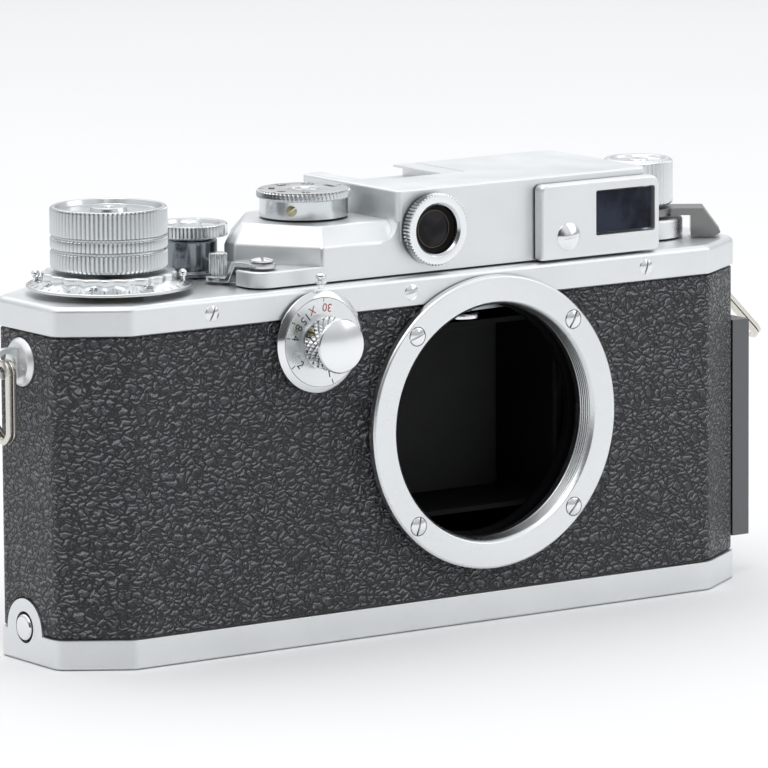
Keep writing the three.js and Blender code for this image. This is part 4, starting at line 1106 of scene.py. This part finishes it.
def rewind_release():
    """The cranked lever on the deck, with its ribbed finger knob and pivot screw."""
    pivot = SCREW_LEVER.mid
    length, half, direction = 8.7, 1.6, 111
    low, high, step, seat = 62.2, 63.0, 59.45, 60.2
    side = [
        (-1, low), (4.3, low), (5.7, step), (length, step),
        (length, seat), (6.2, seat), (5.0, high), (-1, high),
    ]
    arm = cranked("lever_arm", side, 0.2, 2, half, 0.18)
    eye = turned("eye", [(0, low), (2.3, low), (2.3, high), (0, high)], 0.15, segments=64)
    disc = turned("disc", [(0, 59.4), (2.1, 59.4), (2.1, 60.35), (0, 60.35)], 0.2, segments=64)
    fixed(place(disc, length, 0, 0))
    count = 22
    profile = [(0, seat), (1.5, seat), (1.5, 63.9), (1.25, 64.1), (0, 64.1)]
    post = turned("post", profile, 0.12, wave=ribs(count, 0.16, 60.8, 64.0, 1.2), segments=count * 6)
    fixed(place(post, length, 0, 0))
    fuse(arm, eye, disc, post)
    place(arm, pivot.x, pivot.y, 0, "up", direction)
    done(arm, KNURLED, "rewind_release_lever", "polished_chrome", "rewind_release_lever")
    at = (pivot.x, pivot.y, SCREW_LEVER.high.z - 0.35)
    slotted_screw("lever_pivot_screw", 1.9, 0.35, at, "up", 60, BODY, nodes=("lever_screw",), depth=0.3)


# ---------------- slow dial


def slow_dial():
    """The front dial's disc and its polished bevel."""
    radius, face = SLOW.half.x, SLOW_FACE
    back = face - 1.0
    line = radius - 1.1
    disc = turned("slow_disc", [
        (0, back - 3), (1.3, back - 3), (1.3, back - 0.2), (4.8, back - 0.2), (4.8, back), (line, back),
        (line, face), (0, face),
    ], 0.06)
    fitted(disc, SLOW, "front", SPUN, "slow_dial", "satin_chrome", "slow_dial")
    rim = turned("slow_rim", [
        (line - 0.3, back), (radius, back), (radius, back + 0.3), (line + 0.12, face - 0.03),
        (line + 0.02, face - 0.15), (line - 0.3, face - 0.4), (line - 0.3, back),
    ], 0.05)
    fitted(rim, SLOW, "front", BRIGHT, "slow_dial", "satin_chrome")


def slow_knob():
    """The slow dial's knob: a neck, a crossed knurl and a cone."""
    knob, face = SLOW_KNOB.half.x, SLOW_FACE
    nose = -SLOW_KNOB.low.y
    profile = eased_profile([
        (0, face + 0.05), (knob - 0.9, face + 0.05), (knob - 0.9, face + 1.0), (knob, face + 1.3),
        (knob, nose - 1.3), (knob - 0.2, nose - 1.0), (0, nose),
    ], 0.08)
    teeth = 22
    wave = diamonds(teeth, 1.3, 0.5, face + 1.35, nose - 1.35, knob - 0.55)
    grip = lathe("slow_knob", divided(profile, face + 1.2, nose - 1.2, 30), wave, teeth * 10)
    fitted(grip, SLOW, "front", KNURLED, "slow_dial", "satin_chrome", "slow_dial_knob")


def slow_figures():
    """Black speeds and two red marks on the slow dial."""
    shown = SLOW_FACE + INK_RISE
    figures = [(39, 5.3, "15"), (59, 5.5, "8"), (78, 5.5, "4"), (127, 5.55, "2"), (193, 5.4, "1")]
    marks = [(text, 2.0, round_mark(angle, middle, shown)) for angle, middle, text in figures]
    ticks = [(0.15, 0.75, round_mark(angle, 6.8, shown)) for angle in (44, 57.5, 80, 122, 196)]
    engraving("slow_figures", marks, ticks, SLOW, "front", BLACK_INK, "slow_dial")
    red = [("30", 1.9, round_mark(-9, 5.75, shown)), ("X", 1.9, round_mark(20.5, 5.75, shown))]
    dot = [(0.12, 0.6, round_mark(-2, 6.95, shown))]
    engraving("slow_figures_red", red, dot, SLOW, "front", RED_INK, "slow_dial")


def slow_catch():
    """The stud that locks the slow dial."""
    catch = Box("slow_dial_catch")
    low, top = catch.low.z, catch.high.z
    stud = turned("slow_catch", [
        (0, low), (0.55, low), (0.55, low + 0.7), (0.95, low + 0.9), (0.95, low + 1.2), (0.5, low + 1.35),
        (0.5, low + 1.5), (0.9, low + 1.8), (0.85, top - 0.3), (0.4, top), (0, top),
    ], 0.15, segments=48)
    fitted(stud, catch, "up", BRIGHT, "slow_dial_catch", "polished_chrome", "slow_dial_catch")


def slow_screw():
    """The brass screw in the neck of the slow dial's knob."""
    turn = radians(150)
    wall = SLOW_KNOB.half.x
    across, up = wall * cos(turn), wall * sin(turn)
    at = Vector((SLOW.mid.x + across, -(SLOW_FACE + 2.2), SLOW.mid.z + up))
    outward = FACING["front"] @ Matrix.Rotation(turn, 4, "Z") @ FACING["right"]
    grub_screw("slow_knob_screw", 0.72, 0.6, 0.1, (1, 0.12, -0.45), at, outward, "slow_dial")


# ---------------- rewind end


def rewind_end():
    """The rewind knob over its collar, and the finder magnification lever between them."""
    radius, low, top = REWIND.half.x, REWIND.low.z, REWIND.high.z
    profile = [
        (0, top - 2.1), (2.3, top - 2.1), (2.3, low), (radius - 0.5, low), (radius, low + 0.5),
        (radius, top - 0.5), (radius - 0.5, top), (4.6, top), (4.3, top - 0.55), (1.8, top - 0.55),
        (1.6, top - 0.1), (0, top - 0.1),
    ]
    count = 52
    wave = ribs(count, 0.2, low + 0.3, top - 0.3, radius - 0.3)
    knob = turned("rewind_grip", profile, 0.12, wave=wave, segments=count * 6)
    fitted(knob, REWIND, "up", SPUN, "rewind_knob", "satin_chrome", "rewind_knob")
    width = REWIND_COLLAR.half.x
    z0, z1 = REWIND_COLLAR.low.z, REWIND_COLLAR.high.z
    profile = [(2.6, z0), (width, z0), (width, z1 - 0.3), (width - 0.3, z1), (2.6, z1), (2.6, z0)]
    seat = turned("rewind_seat", profile, 0.12)
    fitted(seat, REWIND_COLLAR, "up", SPUN, BODY, "satin_chrome", "rewind_collar")
    tip, half, direction = 14.0, 2.8, -35
    under, over, foot = 62.95, 64.15, 59.5
    side = [
        (5, under), (8.9, under), (8.9, foot), (tip - 0.8, foot),
        (tip, foot + 0.5), (tip - 3, over), (5, over),
    ]
    tab = cranked("magnifier_tab", side, 0.18, 3, half, 0.3)
    hole, rim, low, high = 2.9, 6.2, 62.9, 64.2
    profile = [(hole, low), (rim, low), (rim, high), (hole, high), (hole, low)]
    ring = turned("ring", profile, 0.15, segments=96)
    fuse(tab, ring)
    place(tab, REWIND.mid.x, REWIND.mid.y, 0, "up", direction)
    # The lever's chrome carries painted shade and a painted dark reflection in its tint.
    done(tab, SHADED_LEVER_CHROME, "magnifier_lever", "polished_chrome", "magnifier_lever")


# ---------------- ends of the body


def strap_fittings():
    """The two strap lugs and their triangular clips of doubled flat wire."""
    for side, sign, lean in (("left", -1, 0), ("right", 1, -45)):
        box = Box("strap_lug_" + side)
        y, z = box.mid.y, box.mid.z
        root = abs(box.low.x if sign > 0 else box.high.x)
        outer = box.half.x * 2 + root
        flange = turned("lug_" + side, [
            (0, root), (4.0, root), (4.0, root + 1.0), (3.3, root + 1.75), (2.2, root + 1.8), (0, root + 1.8),
        ], 0.15, segments=96)
        fixed(place(flange, 0, y, z, side))
        eye_x = outer - 2.5
        corners = [(root + 1.5, z - 2.5), (outer, z - 2.5, 2.2), (outer, z + 2.5, 2.2), (root + 1.5, z + 2.5)]
        plate = prism("eye", rounded(corners, 0.2), -0.7, 0.7)
        carve(plate, drill(1.6, (-5, 5), eye_x, z, 0))
        if sign < 0:
            plate.data.transform(Matrix.Diagonal((-1, 1, 1, 1)))
        plate.data.transform(Matrix.Translation((0, y * MM, 0)) @ FACING["front"])
        face_outwards(plate)
        bevel(plate, 0.15, 2)
        fuse(flange, plate)
        done(flange, SATIN, BODY, "polished_chrome", "strap_lug_" + side, sharp=40)
        strap_clip(side, Vector((sign * eye_x, y, z)), lean)


def strap_clip(side, at, lean):
    """Two strands of flat wire, side by side, bent to a triangle that hangs from the eye."""
    length, apex, drop, bend = 14.5, radians(55), 12.4, 1.75
    wire, strand, gap = 1.1, 0.72, 0.12
    peak = bend / tan(apex / 2)
    corners = [(-bend, peak), (-bend, -drop), (-bend + length * sin(apex), peak - length * cos(apex))]
    path = [Vector((0, p.x, p.y + 0.1 - bend)) for p in rounded(corners, bend, 12)]
    half, edge, ease = wire / 2, strand / 2, 0.12
    flat = rounded(rectangle(-half, half, -edge, edge), ease, 2)
    node = "strap_clip_" + side
    for name, sign, nodes in (("wire_clip_", -1, (node,)), ("wire_clip_inner_", 1, ())):
        middle = sign * (strand + gap) / 2
        wire_obj = sweep(name + side, path, Vector((1, 0, 0)), [(p.x, p.y + middle) for p in flat])
        wire_obj.matrix_world = Matrix.Translation(at * MM) @ Matrix.Rotation(radians(lean), 4, "Y")
        bpy.context.view_layer.update()
        done(wire_obj, NICKEL, node, "nickel", *nodes)


def flash_rail():
    """The upright channel on the right end, with a closed top."""
    y0, y1, z0, z1 = RAIL.low.y, RAIL.high.y, RAIL.low.z, RAIL.high.z
    x0, x1 = RAIL.low.x, RAIL.high.x
    lip, wall, cheek = 2.0, 0.8, 0.9
    bed, brow = x0 + wall, x1 - wall
    section = [
        (x0, y0), (x1, y0), (x1, y0 + lip), (brow, y0 + lip), (brow, y0 + cheek), (bed, y0 + cheek),
        (bed, y1 - cheek), (brow, y1 - cheek), (brow, y1 - lip), (x1, y1 - lip), (x1, y1), (x0, y1),
    ]
    rail = prism("flash_channel", section, z0, z1)
    fuse(rail, block("cap", x0, x1, y0, y1, z1 - 1.2, z1))
    bevel(rail, 0.15, 2)
    done(rail, DARK_STEEL, BODY, "dark_steel", "flash_rail")


# ---------------- underside


def underside():
    """The hook stud in the ear and the tripod bush."""
    stud = turned("hook_stud", [
        (0, 67.3), (STUD.half.y, 67.3), (STUD.half.y, 68.5), (STUD.half.y - 0.3, 68.8), (0, 68.8),
    ], 0.15, segments=96)
    place(stud, 0, STUD.mid.y, STUD.mid.z, "left")
    done(stud, BRIGHT, BODY, "polished_chrome", "base_stud")
    height = BUSH.high.z
    bush = turned("tripod_socket", [
        (2.6, 0), (5.0, 0), (5.0, 1.3), (7.5, 1.3), (7.5, 2.3), (5.0, 2.3), (5.0, height), (0, height),
        (0, height - 1), (2.6, height - 1), (2.6, 0),
    ], 0.12)
    fitted(bush, BUSH, "up", BRASS, "base_plate", "brass", "tripod_bush")


# ---------------- cover screws


def cover_screws():
    """Slotted screws through the skirt, front and back, and the domed one on the finder window block."""
    height = DECK.low.z + 2.3
    proud = DECK.half.y + 0.02
    for i, (x, turn) in enumerate(((-42.5, 65), (-3.45, 10), (44.4, 75))):
        for name, y, facing, more in (("", -proud, "front", 0), ("back_", proud, "back", 30)):
            slotted_screw(f"skirt_screw_{name}{i + 1}", 1.35, 0.3, (x, y, height), facing, turn + more, BODY)
    at = (28.2, BLOCK.low.y - 0.05, 63.0)
    slotted_screw("window_block_screw", 2.35, 0.8, at, "front", 5, BODY)


# ---------------- CAD pieces that stay

KEPT = {
    ALLOY: ["body_shell"],
    BLACK: ["shutter_crate", "light_baffle", "pressure_plate", "take_up_spool", "magnifier_turret"],
    CLOTH: ["first_curtain", "second_curtain"],
    GLASS: ["finder_front_glass", "eyepiece_lens", "beam_splitter", "rangefinder_mirror"],
    SMOKED: ["range_window_glass"],
    STEEL: [
        "chassis_plate", "wind_shaft", "film_sprocket", "first_curtain_roller", "second_curtain_roller",
        "rewind_shaft", "follower_arm", "lock_cam",
    ],
    BRASS: ["wind_bush", "curtain_drum"],
    BRIGHT: ["lock_key"],
    SATIN: ["lock_disc"],
}


def kept_pieces():
    """Gives every CAD node that stays in view its material and smooth shading."""
    for material, nodes in KEPT.items():
        for node in nodes:
            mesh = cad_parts[node].data
            mesh.materials.clear()
            mesh.materials.append(material)
            mesh.shade_smooth()
            mesh.set_sharp_from_angle(angle=radians(30))


# ---------------- floor, light and camera


def studio():
    """A pale floor, a soft white surround that is dark behind the viewer, and three large lights."""
    floor_half = 3000
    outline = rectangle(-floor_half, floor_half, -floor_half, floor_half)
    floor = prism("floor", outline, -2, -0.02)
    s = Shader("floor_paper")
    tone = s.blend(s.noise(s.coords(), 6.0, 3.0), (0.86, 0.865, 0.87), (0.90, 0.903, 0.906))
    floor.data.materials.append(s.finish(Base_Color=tone, Roughness=0.75))
    sky = Surround("surround")
    direction = sky.coords("Generated")
    tones = ((0.0, 0.56), (0.10, 0.64), (0.28, 0.92), (0.6, 1.0), (1.0, 1.0))
    sky.put(sky.back.inputs["Color"], sky.ramp(sky.split(direction, 2), tones))
    towards_viewer = sky.vector_maths("DOT_PRODUCT", direction, (-0.66, -0.73, 0.18), "Value")
    strength = sky.remap(towards_viewer, 0.70, 0.92, 0.90, 0.12, smooth=True)
    sky.put(sky.back.inputs["Strength"], strength)
    lights = (
        ("key", (-0.35, -0.30, 0.85), 0.6, 2.1),
        ("fill", (0.75, -0.55, 0.55), 0.7, 1.4),
        ("top", (0.10, 0.45, 0.95), 1.2, 3.2),
    )
    for name, at, size, power in lights:
        light = bpy.data.lights.new(name, "AREA")
        light.size = size
        light.energy = power
        lamp = linked(name, light)
        lamp.location = at
        aim = Vector((0, 0, 0.04)) - lamp.location
        lamp.rotation_mode = "QUATERNION"
        lamp.rotation_quaternion = aim.to_track_quat("-Z", "Y")


def viewpoint():
    """A long lens from the winding end's side, a little above the deck."""
    location = Vector((-673.565, -975.216, 229.384)) * MM
    azimuth, drop, roll = 0.6056, 0.1593, -0.0068
    level = cos(drop)
    ahead = Vector((sin(azimuth) * level, cos(azimuth) * level, -sin(drop)))
    right = ahead.cross(Vector((0, 0, 1))).normalized()
    up = right.cross(ahead)
    level, tilt = cos(roll), sin(roll)
    right, up = right * level + up * tilt, up * level - right * tilt
    data = bpy.data.cameras.new("camera")
    data.sensor_width = 36
    data.lens = 339.2
    data.clip_start = 0.05
    data.clip_end = 50
    camera = linked("camera", data)
    axes = Matrix((right, up, -ahead)).transposed()
    camera.matrix_world = Matrix.Translation(location) @ axes.to_4x4()
    bpy.context.scene.camera = camera


viewpoint()
studio()
kept_pieces()
base_plate()
skin()
deck()
raised_cover()
window_block()
shoe()
mount_ring()
roller()
range_window()
eyepiece()
winding_knob()
frame_counter()
release()
speed_dial()
rewind_release()
slow_dial()
slow_knob()
slow_figures()
slow_catch()
slow_screw()
rewind_end()
strap_fittings()
flash_rail()
underside()
cover_screws()

bpy.context.scene.view_settings.view_transform = "Standard"
